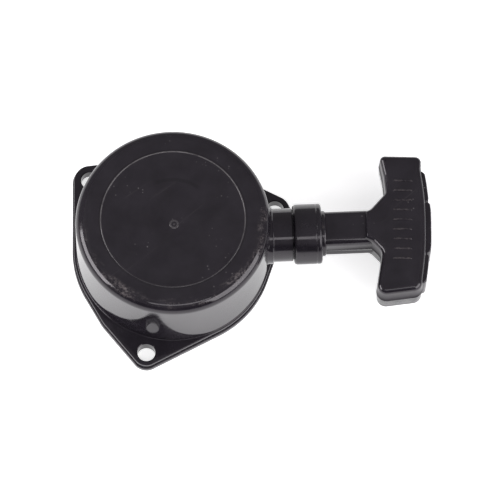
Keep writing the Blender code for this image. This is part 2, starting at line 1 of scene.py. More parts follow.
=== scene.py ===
"""Looks of the recoil starter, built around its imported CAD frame.

Sizes are in millimetres in the drum's frame: the drum's axis is Z, the rope neck runs along +X,
and Z = 0 is the mounting face. They become metres in the shared frame when a piece is made.
Lengths in materials and lights are in metres.
"""
import json
import math

import bmesh
import bpy
from mathutils import Matrix, Vector


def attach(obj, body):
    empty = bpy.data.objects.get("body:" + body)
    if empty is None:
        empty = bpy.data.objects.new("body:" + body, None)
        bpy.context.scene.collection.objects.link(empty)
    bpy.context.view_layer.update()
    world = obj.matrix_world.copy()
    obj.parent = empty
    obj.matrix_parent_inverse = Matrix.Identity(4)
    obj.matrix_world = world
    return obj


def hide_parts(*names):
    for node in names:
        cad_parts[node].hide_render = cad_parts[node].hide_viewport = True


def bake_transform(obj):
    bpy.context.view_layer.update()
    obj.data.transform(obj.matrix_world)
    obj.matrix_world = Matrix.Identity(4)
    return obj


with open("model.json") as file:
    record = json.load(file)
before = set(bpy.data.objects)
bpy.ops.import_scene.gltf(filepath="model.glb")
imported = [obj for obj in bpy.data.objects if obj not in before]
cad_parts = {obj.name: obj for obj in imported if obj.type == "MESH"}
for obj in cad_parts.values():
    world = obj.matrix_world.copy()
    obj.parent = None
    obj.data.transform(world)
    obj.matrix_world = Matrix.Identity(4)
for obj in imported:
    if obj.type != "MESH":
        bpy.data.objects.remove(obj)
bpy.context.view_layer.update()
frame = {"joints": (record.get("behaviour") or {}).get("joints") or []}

MM = 0.001
joints = {joint["name"]: joint for joint in frame["joints"]}
AXIS = Vector(joints["reel_spin"]["pos_m"])
DRUM = Vector((AXIS.x, AXIS.y, 0.0))
NECK_Z = AXIS.z / MM
PARTING_HEIGHT = AXIS.z


# ---------------------------------------------------------------- camera, light and floor

BACK = Vector((-0.0246, -0.3499, 0.9364)).normalized()      # from the object towards the camera
AIM = Vector((-0.000609, 0.005439, 0.0))
LEVEL_RIGHT = Vector((0.99754, -0.07010, 0.0))               # the picture's right before the roll
CAMERA_DISTANCE = 2.5
CAMERA_ROLL = math.radians(1.5)
CAMERA_LENS = 399.14
LIGHT_DISTANCE = 1.2
SOFT_BOXES = (                # name, azimuth and elevation in degrees, size, radiance
    ("soft_box_left", 186, 26, (0.95, 0.60), 6.4),
    ("soft_box_right", -34, 27, (1.15, 0.85), 4.0),
    ("strip_front", -88, 56, (0.80, 0.20), 2.6),
)
SKY_COLOUR = (0.99, 0.96, 1.0, 1.0)
TENT_GLOW = 0.32
TENT_FRONT = 0.03
FRONT_REACH = (-0.45, -0.80)  # of the dark front, along Y and in height
FRONT_HEIGHT = (0.60, 0.35)
FLOOR_REACH = 4.0
FLOOR_DROP = 0.0002
PALE_GREY = (0.50, 0.50, 0.51)
LIGHT_POOL_EDGE = (0.48, 0.17)     # the painted pool of light turns from white to pale grey between these distances
LIGHT_POOL_GLOW = (0.55, 0.75)     # the floor's painted glow far from the drum and near it, stronger near it to wash out the shadow
GLOW_EDGE = (0.105, 0.065)


def make_camera():
    data = bpy.data.cameras.new("camera")
    data.lens = CAMERA_LENS
    data.sensor_width = 36.0
    data.clip_start, data.clip_end = 0.1, 20.0
    camera = bpy.data.objects.new("camera", data)
    bpy.context.scene.collection.objects.link(camera)
    flat_right = (LEVEL_RIGHT - BACK * LEVEL_RIGHT.dot(BACK)).normalized()
    flat_up = BACK.cross(flat_right)
    right = math.cos(CAMERA_ROLL) * flat_right + math.sin(CAMERA_ROLL) * flat_up
    up = BACK.cross(right)
    turn = Matrix((right, up, BACK)).transposed().to_4x4()
    camera.matrix_world = Matrix.Translation(AIM + BACK * CAMERA_DISTANCE) @ turn
    bpy.context.scene.camera = camera


def soft_box(name, azimuth, elevation, size, radiance):
    """A rectangular light of even radiance, LIGHT_DISTANCE from the object and facing it."""
    turn, rise = math.radians(azimuth), math.radians(elevation)
    level = Vector((math.cos(turn), math.sin(turn), 0.0))
    towards = level * math.cos(rise) + Vector((0.0, 0.0, math.sin(rise)))
    data = bpy.data.lights.new(name, "AREA")
    data.shape = "RECTANGLE"
    data.size, data.size_y = size
    data.energy = radiance * math.pi * size[0] * size[1]
    light = bpy.data.objects.new(name, data)
    bpy.context.scene.collection.objects.link(light)
    light.location = towards * LIGHT_DISTANCE
    light.rotation_mode = "QUATERNION"
    light.rotation_quaternion = (-towards).to_track_quat("-Z", "Y")


def make_lights():
    """A dim tent, dark low at the front, with a soft box on each side and a strip above the front."""
    world = bpy.data.worlds.new("studio")
    bpy.context.scene.world = world
    world.use_nodes = True
    tent = Nodes(world.node_tree)
    _, y, height = tent.split(tent.coordinates.outputs["Generated"])
    front = tent.times(tent.span(y, *FRONT_REACH), tent.span(height, *FRONT_HEIGHT))
    sky = world.node_tree.nodes["Background"]
    sky.inputs["Color"].default_value = SKY_COLOUR
    tent.put(sky.inputs["Strength"], tent.span(front, 0.0, 1.0, TENT_GLOW, TENT_FRONT, smooth=False))
    for values in SOFT_BOXES:
        soft_box(*values)


def make_floor():
    """A floor with a painted pool of light: white and glowing round the object, glowing most round the drum
    to wash out its shadow, and falling off to pale grey beyond the view.
    """
    mesh = bpy.data.meshes.new("floor")
    corners = [(x * FLOOR_REACH, y * FLOOR_REACH, 0) for x, y in ((-1, -1), (1, -1), (1, 1), (-1, 1))]
    mesh.from_pydata(corners, [], [(0, 1, 2, 3)])
    floor = bpy.data.objects.new("floor", mesh)
    bpy.context.scene.collection.objects.link(floor)
    floor.location.z = -FLOOR_DROP
    look = Look("floor_paper")
    colour = look.ramp(look.noise(3.0, 3), [(0.3, (0.93, 0.93, 0.935)), (0.7, (0.95, 0.95, 0.95))])
    x, y, _ = look.split(look.place)
    # painted light: a white pool round the object, and a glow that is stronger near the drum so that the
    # object's shadow is washed out
    sheet = look.span(look.length(x, y), *LIGHT_POOL_EDGE)
    glow = look.span(polar(look)[0], *GLOW_EDGE, *LIGHT_POOL_GLOW)
    look.set("Base Color", look.mix(sheet, PALE_GREY, colour))
    look.set("Emission Color", (1.0, 1.0, 1.0, 1.0))
    look.set("Emission Strength", look.times(sheet, glow))
    look.shader.inputs["Roughness"].default_value = 0.9
    look.shader.inputs["Specular IOR Level"].default_value = 0.1
    mesh.materials.append(look.item)


# ---------------------------------------------------------------- materials

class Nodes:
    """The few node makers that the finishes need."""

    def __init__(self, tree):
        self.tree = tree
        self.coordinates = tree.nodes.new("ShaderNodeTexCoord")
        self.place = self.coordinates.outputs["Object"]

    def put(self, socket, value):
        if isinstance(value, bpy.types.NodeSocket):
            self.tree.links.new(value, socket)
        else:
            socket.default_value = value

    def math(self, operation, *values):
        node = self.tree.nodes.new("ShaderNodeMath")
        node.operation = operation
        for socket, value in zip(node.inputs, values):
            self.put(socket, value)
        return node.outputs[0]

    def times(self, first, *others):
        for other in others:
            first = self.math("MULTIPLY", first, other)
        return first

    def length(self, x, y):
        return self.math("SQRT", self.math("ADD", self.times(x, x), self.times(y, y)))

    def split(self, vector):
        node = self.tree.nodes.new("ShaderNodeSeparateXYZ")
        self.put(node.inputs[0], vector)
        return node.outputs

    def vector(self, x, y):
        node = self.tree.nodes.new("ShaderNodeCombineXYZ")
        self.put(node.inputs[0], x)
        self.put(node.inputs[1], y)
        return node.outputs[0]

    def shifted(self, move=(0, 0, 0), scale=(1, 1, 1), turn=(0, 0, 0)):
        """Object coordinates taken from another origin."""
        node = self.tree.nodes.new("ShaderNodeMapping")
        node.vector_type = "TEXTURE"
        self.put(node.inputs["Vector"], self.place)
        node.inputs["Location"].default_value = move
        node.inputs["Rotation"].default_value = turn
        node.inputs["Scale"].default_value = scale
        return node.outputs[0]

    def noise(self, scale, detail=2.0, roughness=0.5, vector=None):
        node = self.tree.nodes.new("ShaderNodeTexNoise")
        self.put(node.inputs["Vector"], vector or self.place)
        node.inputs["Scale"].default_value = scale
        node.inputs["Detail"].default_value = detail
        node.inputs["Roughness"].default_value = roughness
        return node.outputs["Fac"]

    def cells(self, scale):
        """Distance from the nearest of many scattered points."""
        node = self.tree.nodes.new("ShaderNodeTexVoronoi")
        self.put(node.inputs["Vector"], self.place)
        node.inputs["Scale"].default_value = scale
        return node.outputs["Distance"]

    def ramp(self, factor, stops):
        node = self.tree.nodes.new("ShaderNodeValToRGB")
        self.put(node.inputs[0], factor)
        while len(node.color_ramp.elements) < len(stops):
            node.color_ramp.elements.new(0.5)
        for element, (place, colour) in zip(node.color_ramp.elements, stops):
            element.position = place
            element.color = (*colour, 1)
        return node.outputs[0]

    def span(self, value, low, high, start=0.0, end=1.0, smooth=True):
        """value from low to high, turned into start to end and held there outside."""
        node = self.tree.nodes.new("ShaderNodeMapRange")
        node.interpolation_type = "SMOOTHSTEP" if smooth else "LINEAR"
        self.put(node.inputs["Value"], value)
        for name, number in (("From Min", low), ("From Max", high), ("To Min", start), ("To Max", end)):
            node.inputs[name].default_value = number
        return node.outputs[0]

    def mix(self, factor, first, second):
        node = self.tree.nodes.new("ShaderNodeMix")
        node.data_type = "RGBA"
        self.put(node.inputs[0], factor)
        for socket, colour in ((node.inputs[6], first), (node.inputs[7], second)):
            self.put(socket, (*colour, 1) if isinstance(colour, tuple) else colour)
        return node.outputs[2]

    def bump(self, height, distance, under=None):
        node = self.tree.nodes.new("ShaderNodeBump")
        self.put(node.inputs["Height"], height)
        node.inputs["Distance"].default_value = distance
        node.inputs["Strength"].default_value = 1.0
        if under:
            self.put(node.inputs["Normal"], under)
        return node.outputs[0]


class Look(Nodes):
    """A Principled material."""

    def __init__(self, name):
        self.item = bpy.data.materials.new(name)
        self.item.use_nodes = True
        super().__init__(self.item.node_tree)
        self.shader = self.tree.nodes["Principled BSDF"]

    def set(self, name, value):
        self.put(self.shader.inputs[name], value)


GATE = (0.4, -2.5)            # the moulding's gate mark, from the drum's axis
BLACK = (0.0095, 0.0080, 0.0110)
BLACK_LIGHTER = (0.0180, 0.0155, 0.0205)
# darker black for the drum's dark arc and for the painted shade beside its ring
DARK_ARC_AND_SHADE = (0.003, 0.003, 0.004)
SCUFF = (0.20, 0.175, 0.175)
# also the colour of the painted highlight on the drum's ring
DUST_AND_HIGHLIGHT = (0.15, 0.14, 0.145)
PLASTIC_TINT = (1.0, 0.95, 1.0, 1.0)
PLASTIC_SPECULAR = 0.5
SATIN_FADE = 0.003            # height over which the satin finish begins
GLOSS_FADE = 5.0 * MM         # height over which the gloss rises above the parting line


def facing_up(look):
    """1 on level faces and 0 on walls."""
    return look.span(look.split(look.coordinates.outputs["Normal"])[2], 0.90, 0.995)


def moulded_black(name, top_roughness, wall_roughness, grain, marks=None, wear=None, satin_above=0.0,
                  shine=PLASTIC_SPECULAR):
    """Black moulding, satin on level faces and glossy on walls, mottled, finely scratched and dusty.

    shine is the walls' specular level below the parting line.
    """
    look = Look(name)
    up = facing_up(look)
    height = look.split(look.place)[2]
    if satin_above:
        up = look.times(up, look.span(height, satin_above, satin_above + SATIN_FADE))
    colour = look.ramp(look.noise(90, 4, 0.6), [(0.3, BLACK), (0.75, BLACK_LIGHTER)])

    streaks = look.noise(60, 5, 0.7, look.shifted(turn=(0.0, 0.0, 0.6), scale=(9.0, 0.35, 1.0)))
    more_streaks = look.noise(55, 5, 0.7, look.shifted(turn=(0.0, 0.0, -0.9), scale=(0.35, 8.0, 1.0)))
    hairlines = look.times(look.span(look.math("MAXIMUM", streaks, more_streaks), 0.64, 0.80), up)
    specks = look.span(look.cells(430), 0.20, 0.04)
    chance = look.span(look.noise(42, 2), 0.53, 0.64)
    dust = look.times(specks, chance, look.span(up, 0.0, 1.0, 0.15, 0.8))
    colour = look.mix(look.times(hairlines, 0.22), colour, DUST_AND_HIGHLIGHT)
    colour = look.mix(dust, colour, DUST_AND_HIGHLIGHT)

    rough = look.span(up, 0.0, 1.0, wall_roughness, top_roughness, smooth=False)
    rough = look.math("ADD", rough, look.span(look.noise(150, 5, 0.65), 0.3, 0.7, -0.05, 0.05))
    rough = look.math("ADD", rough, look.times(hairlines, 0.08))
    if marks:
        colour = marks(look, colour, up)
    if wear:
        scuffed = wear(look)
        colour = look.mix(scuffed, colour, SCUFF)
        rough = look.math("ADD", rough, look.times(scuffed, 0.4))
    look.set("Base Color", colour)
    look.set("Roughness", rough)
    look.set("Specular Tint", PLASTIC_TINT)
    raised = look.math("MAXIMUM", up, look.span(height, PARTING_HEIGHT, PARTING_HEIGHT + GLOSS_FADE))
    look.set("Specular IOR Level", look.span(raised, 0.0, 1.0, shine, PLASTIC_SPECULAR, smooth=False))

    ripple = look.bump(look.noise(45, 2, 0.4), 0.00006)
    fine = look.times(look.noise(2600, 3, 0.6), look.span(up, 0.0, 1.0, 0.15, 1.0, smooth=False))
    skin = look.bump(fine, grain, under=ripple)
    scratches = look.math("SUBTRACT", 1.0, look.times(hairlines, 0.5))
    look.set("Normal", look.bump(scratches, 0.00002, under=skin))
    return look.item


def polar(look):
    """Distance from the drum's axis, angle round it and height."""
    x, y, z = look.split(look.shifted(move=tuple(DRUM)))
    return look.length(x, y), look.math("ARCTAN2", y, x), z


def band(look, value, low, high, soft):
    """1 between low and high, falling to 0 over a soft edge on either side."""
    return look.times(look.span(value, low - soft, low), look.span(value, high + soft, high))


def drum_marks(look, colour, up):
    """On the drum's top: a dark arc, a painted highlight along the raised ring's crest with painted shade
    beside it, and the gate.
    """
    radius, turn, _ = polar(look)
    dark_arc = look.times(band(look, radius, 0.0182, 0.0192, 0.0006), band(look, turn, 0.95, 1.9, 0.15))
    broken = look.span(look.noise(160, 4, 0.7), 0.30, 0.55, 0.35, 1.0)
    # painted highlight along the raised ring's crest: broken up by noise and stronger towards the far side
    far = look.span(look.split(look.place)[1], -0.020, 0.015, 0.25, 1.0)
    crest = look.times(band(look, radius, 0.0319, 0.0323, 0.0002), broken, far)
    # painted shade just beside the raised ring, broken up by noise
    ridge_shade = look.times(band(look, radius, 0.0326, 0.0329, 0.0003), broken)
    x, y, _ = look.split(look.shifted(move=(DRUM.x + GATE[0] * MM, DRUM.y + GATE[1] * MM, 0.0)))
    from_gate = look.length(x, y)
    outer_ring = band(look, from_gate, 0.0014, 0.0020, 0.0003)
    rings = look.math("ADD", outer_ring, look.span(from_gate, 0.0006, 0.0003))
    colour = look.mix(look.times(dark_arc, up, 0.45), colour, DARK_ARC_AND_SHADE)
    # painted shade beside the ring
    colour = look.mix(look.times(ridge_shade, 0.6), colour, DARK_ARC_AND_SHADE)
    # painted highlight on the ring's crest
    colour = look.mix(look.times(crest, 0.70), colour, DUST_AND_HIGHLIGHT)
    return look.mix(look.times(rings, 0.30), colour, DUST_AND_HIGHLIGHT)


def rim_wear(look):
    """Rubbed patches round the drum's rim, broken up by fine scratches that run along it."""
    radius, turn, z = polar(look)
    ring = look.times(look.span(radius, 0.0368, 0.0388), look.span(radius, 0.0427, 0.0412))
    high = look.span(z, 0.0395, 0.0415)
    along = look.vector(look.times(turn, 0.02), radius)
    patches = look.span(look.noise(95, 4, 0.7, along), 0.47, 0.66)
    fine = look.span(look.noise(900, 4, 0.75), 0.42, 0.66)
    front = look.span(look.split(look.place)[1], 0.022, -0.006)
    return look.times(ring, high, patches, fine, front, 0.75)


def rib_wear(look):
    """The rubbed crests of the grip's ribs."""
    height = look.split(look.place)[2]
    crest = look.span(height, PARTING_HEIGHT + 10.06 * MM, PARTING_HEIGHT + 10.2 * MM)
    return look.times(crest, look.span(look.noise(700, 4, 0.7), 0.38, 0.62), 0.22)


ZINC_LIGHT, ZINC_DARK = (0.66, 0.64, 0.57), (0.52, 0.51, 0.47)
STEEL_LIGHT, STEEL_DARK = (0.50, 0.50, 0.51), (0.36, 0.36, 0.38)
BLUED_LIGHT, BLUED_DARK = (0.19, 0.20, 0.24), (0.12, 0.13, 0.17)
REEL_LIGHT, REEL_DARK = (0.105, 0.105, 0.115), (0.075, 0.075, 0.082)
NYLON_LIGHT, NYLON_DARK = (0.58, 0.56, 0.50), (0.50, 0.48, 0.43)


def metal(name, light, dark, roughness, scale, grain):
    """Plated or bare metal with blotches, fine scratches and uneven gloss."""
    look = Look(name)
    blotches = look.noise(scale, 4, 0.6)
    scratches = look.noise(scale * 3, 5, 0.75, look.shifted(turn=(0.3, 0.2, 0.7), scale=(6.0, 0.5, 1.0)))
    look.set("Base Color", look.ramp(blotches, [(0.3, dark), (0.7, light)]))
    look.set("Metallic", 1.0)
    look.set("Roughness", look.math("ADD", look.span(scratches, 0.3, 0.7, -0.07, 0.09), roughness))
    look.set("Normal", look.bump(scratches, grain))
    return look.item


def dull_plastic(name, light, dark, roughness, grain):
    """Unpainted moulding with a fine grain and slightly cloudy colour."""
    look = Look(name)
    look.set("Base Color", look.ramp(look.noise(120, 4, 0.6), [(0.3, dark), (0.7, light)]))
    look.set("Roughness", look.span(look.noise(260, 3), 0.3, 0.7, roughness - 0.06, roughness + 0.06))
    look.set("Normal", look.bump(look.noise(2400, 3, 0.6), grain))
    return look.item


CORD_STITCH = 0.0017          # length of one stitch of the braid
CORD_STRANDS = 4
CORD_WHITE = (0.74, 0.73, 0.70)
# painted shade in the gaps of the braid
CORD_GAP_SHADE = (0.30, 0.29, 0.27)
CORD_SOILED = (0.52, 0.50, 0.46)
CORD_TRACER = (0.05, 0.055, 0.07)


def braided(name, along_x):
    """Braided white cord with a dark tracer, laid along X or along the mesh's own run."""
    look = Look(name)
    if along_x:
        x, y, z = look.split(look.shifted(move=tuple(AXIS)))
        run, turn = x, look.math("ARCTAN2", z, y)
    else:
        own = look.tree.nodes.new("ShaderNodeAttribute")
        own.attribute_name = "run"
        run, across, up = look.split(own.outputs["Vector"])
        turn = look.math("ARCTAN2", up, across)
    climb = look.times(run, math.pi / CORD_STITCH)
    round_it = look.times(turn, CORD_STRANDS)
    left = look.math("SINE", look.math("ADD", round_it, climb))
    right = look.math("SINE", look.math("SUBTRACT", round_it, climb))
    stitch = look.math("ABSOLUTE", look.times(left, right))
    fibres = look.noise(3500, 3, 0.7)
    height = look.math("ADD", look.math("POWER", stitch, 0.5), look.times(fibres, 0.25))
    # painted shade: the gaps between the braid's strands are darker
    colour = look.mix(look.span(stitch, 0.0, 0.30), CORD_GAP_SHADE, CORD_WHITE)
    tracer = look.math("COSINE", look.math("ADD", turn, look.times(climb, 1.0 / CORD_STRANDS)))
    colour = look.mix(look.span(tracer, 0.90, 0.94), colour, CORD_TRACER)
    look.set("Base Color", look.mix(look.span(fibres, 0.35, 0.65, 0.0, 0.25), colour, CORD_SOILED))
    look.set("Roughness", look.span(fibres, 0.3, 0.7, 0.78, 0.92))
    look.set("Normal", look.bump(height, 0.00016))
    return look.item


# ---------------------------------------------------------------- meshes

def arc(centre, radius, start, end, steps):
    """Points on an arc, with angles in degrees. The radius may be a pair, for an ellipse."""
    wide, high = radius if isinstance(radius, tuple) else (radius, radius)
    points = []
    for i in range(steps + 1):
        angle = math.radians(start + (end - start) * i / steps)
        points.append((centre[0] + wide * math.cos(angle), centre[1] + high * math.sin(angle)))
    return points


def upright(point):
    return point


def along_neck(point):
    x, y, z = point
    return (z, x, y + NECK_Z)


def at(x, y, z=0.0, turn=0.0):
    """Puts a shape that stands on the drum's frame at another place."""
    def move(point):
        c, s = math.cos(turn), math.sin(turn)
        return (x + point[0] * c - point[1] * s, y + point[0] * s + point[1] * c, z + point[2])
    return move


def around(distance, turn):
    """Puts a shape at a distance from the drum's axis, at an angle in radians."""
    return at(distance * math.cos(turn), distance * math.sin(turn))


def mesh_object(name, points, faces, place=upright):
    """A mesh from points in the drum's frame, with its faces turned outwards."""
    mesh = bpy.data.meshes.new(name)
    mesh.from_pydata([Vector(place(p)) * MM + DRUM for p in points], [], faces)
    shape = bmesh.new()
    shape.from_mesh(mesh)
    bmesh.ops.recalc_face_normals(shape, faces=shape.faces)
    shape.to_mesh(mesh)
    shape.free()
    made = bpy.data.objects.new(name, mesh)
    bpy.context.scene.collection.objects.link(made)
    return made


def lathe(name, profile, steps, place=upright, closed=False):
    """A profile of (radius, height) points turned round Z. Points on the axis become poles."""
    points, rows = [], []
    for radius, height in profile:
        if radius < 1e-6:
            rows.append([len(points)] * steps)
            points.append((0, 0, height))
            continue
        rows.append(list(range(len(points), len(points) + steps)))
        for i in range(steps):
            turn = math.tau * i / steps
            points.append((radius * math.cos(turn), radius * math.sin(turn), height))
    faces = []
    pairs = list(zip(rows, rows[1:])) + ([(rows[-1], rows[0])] if closed else [])
    for upper, lower in pairs:
        for i in range(steps):
            j = (i + 1) % steps
            corners = [upper[i], lower[i], lower[j], upper[j]]
            faces.append([c for n, c in enumerate(corners) if c not in corners[:n]])
    return mesh_object(name, points, [f for f in faces if len(f) > 2], place)


def loft(name, loops, place=upright):
    """Closed loops of (x, y, z) with equal counts, skinned one to the next and closed at both ends."""
    count = len(loops[0])
    points = [point for loop in loops for point in loop]
    faces = [list(range(count)), list(range(len(points) - count, len(points)))]
    for row in range(len(loops) - 1):
        for i in range(count):
            j = (i + 1) % count
            low = row * count
            faces.append([low + i, low + j, low + count + j, low + count + i])
    return mesh_object(name, points, faces, place)


def sweep(name, path, section, place=upright):
    """A closed section of (sideways, up) points carried along an open path, with closed ends.

    The mesh keeps, as "run", each point's length along the path in metres and its direction in
    the section.
    """
    path = [Vector(point) for point in path]
    loops, runs, length = [], [], 0.0
    for i, here in enumerate(path):
        ahead = (path[min(i + 1, len(path) - 1)] - path[max(i - 1, 0)]).normalized()
        side = ahead.cross(Vector((0, 0, 1))).normalized()
        up = side.cross(ahead)
        length += (here - path[i - 1]).length if i else 0.0
        loops.append([tuple(here + side * u + up * v) for u, v in section])
        for u, v in section:
            size = math.hypot(u, v)
            runs.append((length * MM, u / size, v / size))
    made = loft(name, loops, place)
    values = made.data.attributes.new("run", "FLOAT_VECTOR", "POINT").data
    for value, run in zip(values, runs):
        value.vector = run
    return made


def rounded_corners(corners, steps=8):
    """The points of a closed outline, from its (x, y, rounding) corners."""
    outline = []
    count = len(corners)
    for i in range(count):
        x, y, rounding = corners[i]
        here = Vector((x, y))
        before = (Vector(corners[i - 1][:2]) - here).normalized()
        after = (Vector(corners[(i + 1) % count][:2]) - here).normalized()
        half = math.acos(max(-1.0, min(1.0, before.dot(after)))) / 2
        if rounding <= 0 or half > math.pi / 2 - 0.001:
            outline.append(here)
            continue
        middle = (before + after).normalized()
        centre = here + middle * (rounding / math.sin(half))
        start = here + before * (rounding / math.tan(half)) - centre
        end = here + after * (rounding / math.tan(half)) - centre
        opening = start.angle_signed(end)
        for k in range(steps + 1):
            turn = -opening * k / steps
            c, s = math.cos(turn), math.sin(turn)
            outline.append(centre + Vector((start.x * c - start.y * s, start.x * s + start.y * c)))
    return outline


def offset_outline(outline, distance):
    """The outline moved outwards by a distance. It runs anticlockwise."""
    moved = []
    count = len(outline)
    for i, point in enumerate(outline):
        before = (point - outline[i - 1])
        after = (outline[(i + 1) % count] - point)
        normals = [Vector((e.y, -e.x)).normalized() for e in (before, after) if e.length > 1e-6]
        normal = sum(normals, Vector((0, 0))).normalized()
        spread = max(0.5, normal.dot(normals[0]))
        moved.append(point + normal * (distance / spread))
    return moved


def stack(name, outline_at, stations, place=upright):
    """A plate from its outline at each station of (offset, height)."""
    return loft(name, [[(p[0], p[1], z) for p in outline_at(offset)] for offset, z in stations], place)


def plate(name, outline, stations, place=upright):
    """A plate whose outline is moved outwards by each station's offset."""
    return stack(name, lambda offset: offset_outline(outline, offset), stations, place)


def rectangle(low, high, rounding, steps=3):
    """A rounded rectangle between two (x, y) corners."""
    (x0, y0), (x1, y1) = low, high
    corners = [(x0, y0, rounding), (x1, y0, rounding), (x1, y1, rounding), (x0, y1, rounding)]
    return rounded_corners(corners, steps)


def edge_stations(low, high, rounding, steps=5):
    """Stations of a plate whose lower and upper edges are rounded."""
    down = [(x - rounding, z) for x, z in arc((0, low + rounding), rounding, -90, 0, steps)]
    up = [(x - rounding, z) for x, z in arc((0, high - rounding), rounding, 0, 90, steps)]
    return down + up


def combined(base, *steps, solver="EXACT"):
    """Joins shapes to the base or cuts them from it, one after another, and removes them."""
    for number, (operation, other) in enumerate(steps):
        modifier = base.modifiers.new(f"step_{number}", "BOOLEAN")
        modifier.operation = operation
        modifier.object = other
        modifier.solver = solver
    bpy.context.view_layer.update()
    evaluated = base.evaluated_get(bpy.context.evaluated_depsgraph_get())
    mesh = bpy.data.meshes.new_from_object(evaluated)
    base.modifiers.clear()
    base.data = mesh
    for _, other in steps:
        bpy.data.objects.remove(other, do_unlink=True)
    shape = bmesh.new()
    shape.from_mesh(mesh)
    bmesh.ops.remove_doubles(shape, verts=shape.verts, dist=2e-6)
    bmesh.ops.dissolve_degenerate(shape, edges=shape.edges, dist=2e-6)
    shape.to_mesh(mesh)
    shape.free()
    return base


def joined(name, *parts):
    """Several closed shapes as one piece."""
    mesh = bpy.data.meshes.new(name)
    shape = bmesh.new()
    for part in parts:
        shape.from_mesh(part.data)
        bpy.data.objects.remove(part, do_unlink=True)
    shape.to_mesh(mesh)
    shape.free()
    made = bpy.data.objects.new(name, mesh)
    bpy.context.scene.collection.objects.link(made)
    return made


def finished(piece, finish, body, replaced, crease=32):
    """Gives a piece its finish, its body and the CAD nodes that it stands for."""
    piece.data.materials.clear()
    piece.data.materials.append(finish)
    piece.data.shade_smooth()
    piece.data.set_sharp_from_angle(angle=math.radians(crease))
    if body:
        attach(piece, body)
    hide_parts(*replaced)


# ---------------------------------------------------------------- drum, flange and neck

DRUM_HEIGHT = 44.0
DRUM_RADIUS = 43.35
DRUM_BASE_RADIUS = 43.4
RIM_ROUNDING = 5.2
WALL = 2.5
ROOF = 2.6
RIDGE_RADIUS = 32.1           # of the fine raised ring on the drum's top
RIDGE_HEIGHT = 0.18
FLANGE_RADIUS = 45.0
FLANGE_CENTRE = (-0.33, 0.12)
FLANGE_THICKNESS = 6.0
EARS = ((136.3, 50.1, 7.8), (254.0, 50.8, 6.7), (20.15, 49.6, 7.15))
SIDE_BULGE = (236.9, 26.85, 21.9)     # like an ear: angle, distance from the axis, radius
BOLT_HOLE_RADIUS = 4.0
NECK_RADIUS = 11.95
PAD_RADIUS = 12.7
PAD_END = 44.5
NECK_END = 60.0
NECK_BORE_RADIUS = 7.5
COLLAR_START = 53.7
COLLAR_END = 66.5
COLLAR_RADIUS = 13.55
COLLAR_BORE_RADIUS = 10.9
POST_RADIUS = 6.0
POST_BOTTOM = 9.5
SPRING_RING = (31.4, 33.2)
SPRING_RING_BOTTOM = 30.8
NECK_ROOT = 38.0              # where the neck's shape starts, inside the drum's wall
EJECTOR_MARKS = 7
EJECTOR_DISTANCE = 43.2


def flange_outline(offset, steps=288):
    """The tight loop round the disc and the three ears, moved out by an offset."""
    circles = [(Vector(FLANGE_CENTRE), FLANGE_RADIUS)]
    for angle, distance, radius in (*EARS, SIDE_BULGE):
        turn = math.radians(angle)
        circles.append((Vector((math.cos(turn), math.sin(turn))) * distance, radius))
    outline = []
    for i in range(steps):
        turn = math.tau * i / steps
        normal = Vector((math.cos(turn), math.sin(turn)))
        centre, radius = max(circles, key=lambda circle: circle[0].dot(normal) + circle[1])
        outline.append(centre + normal * (radius + offset))
    return outline


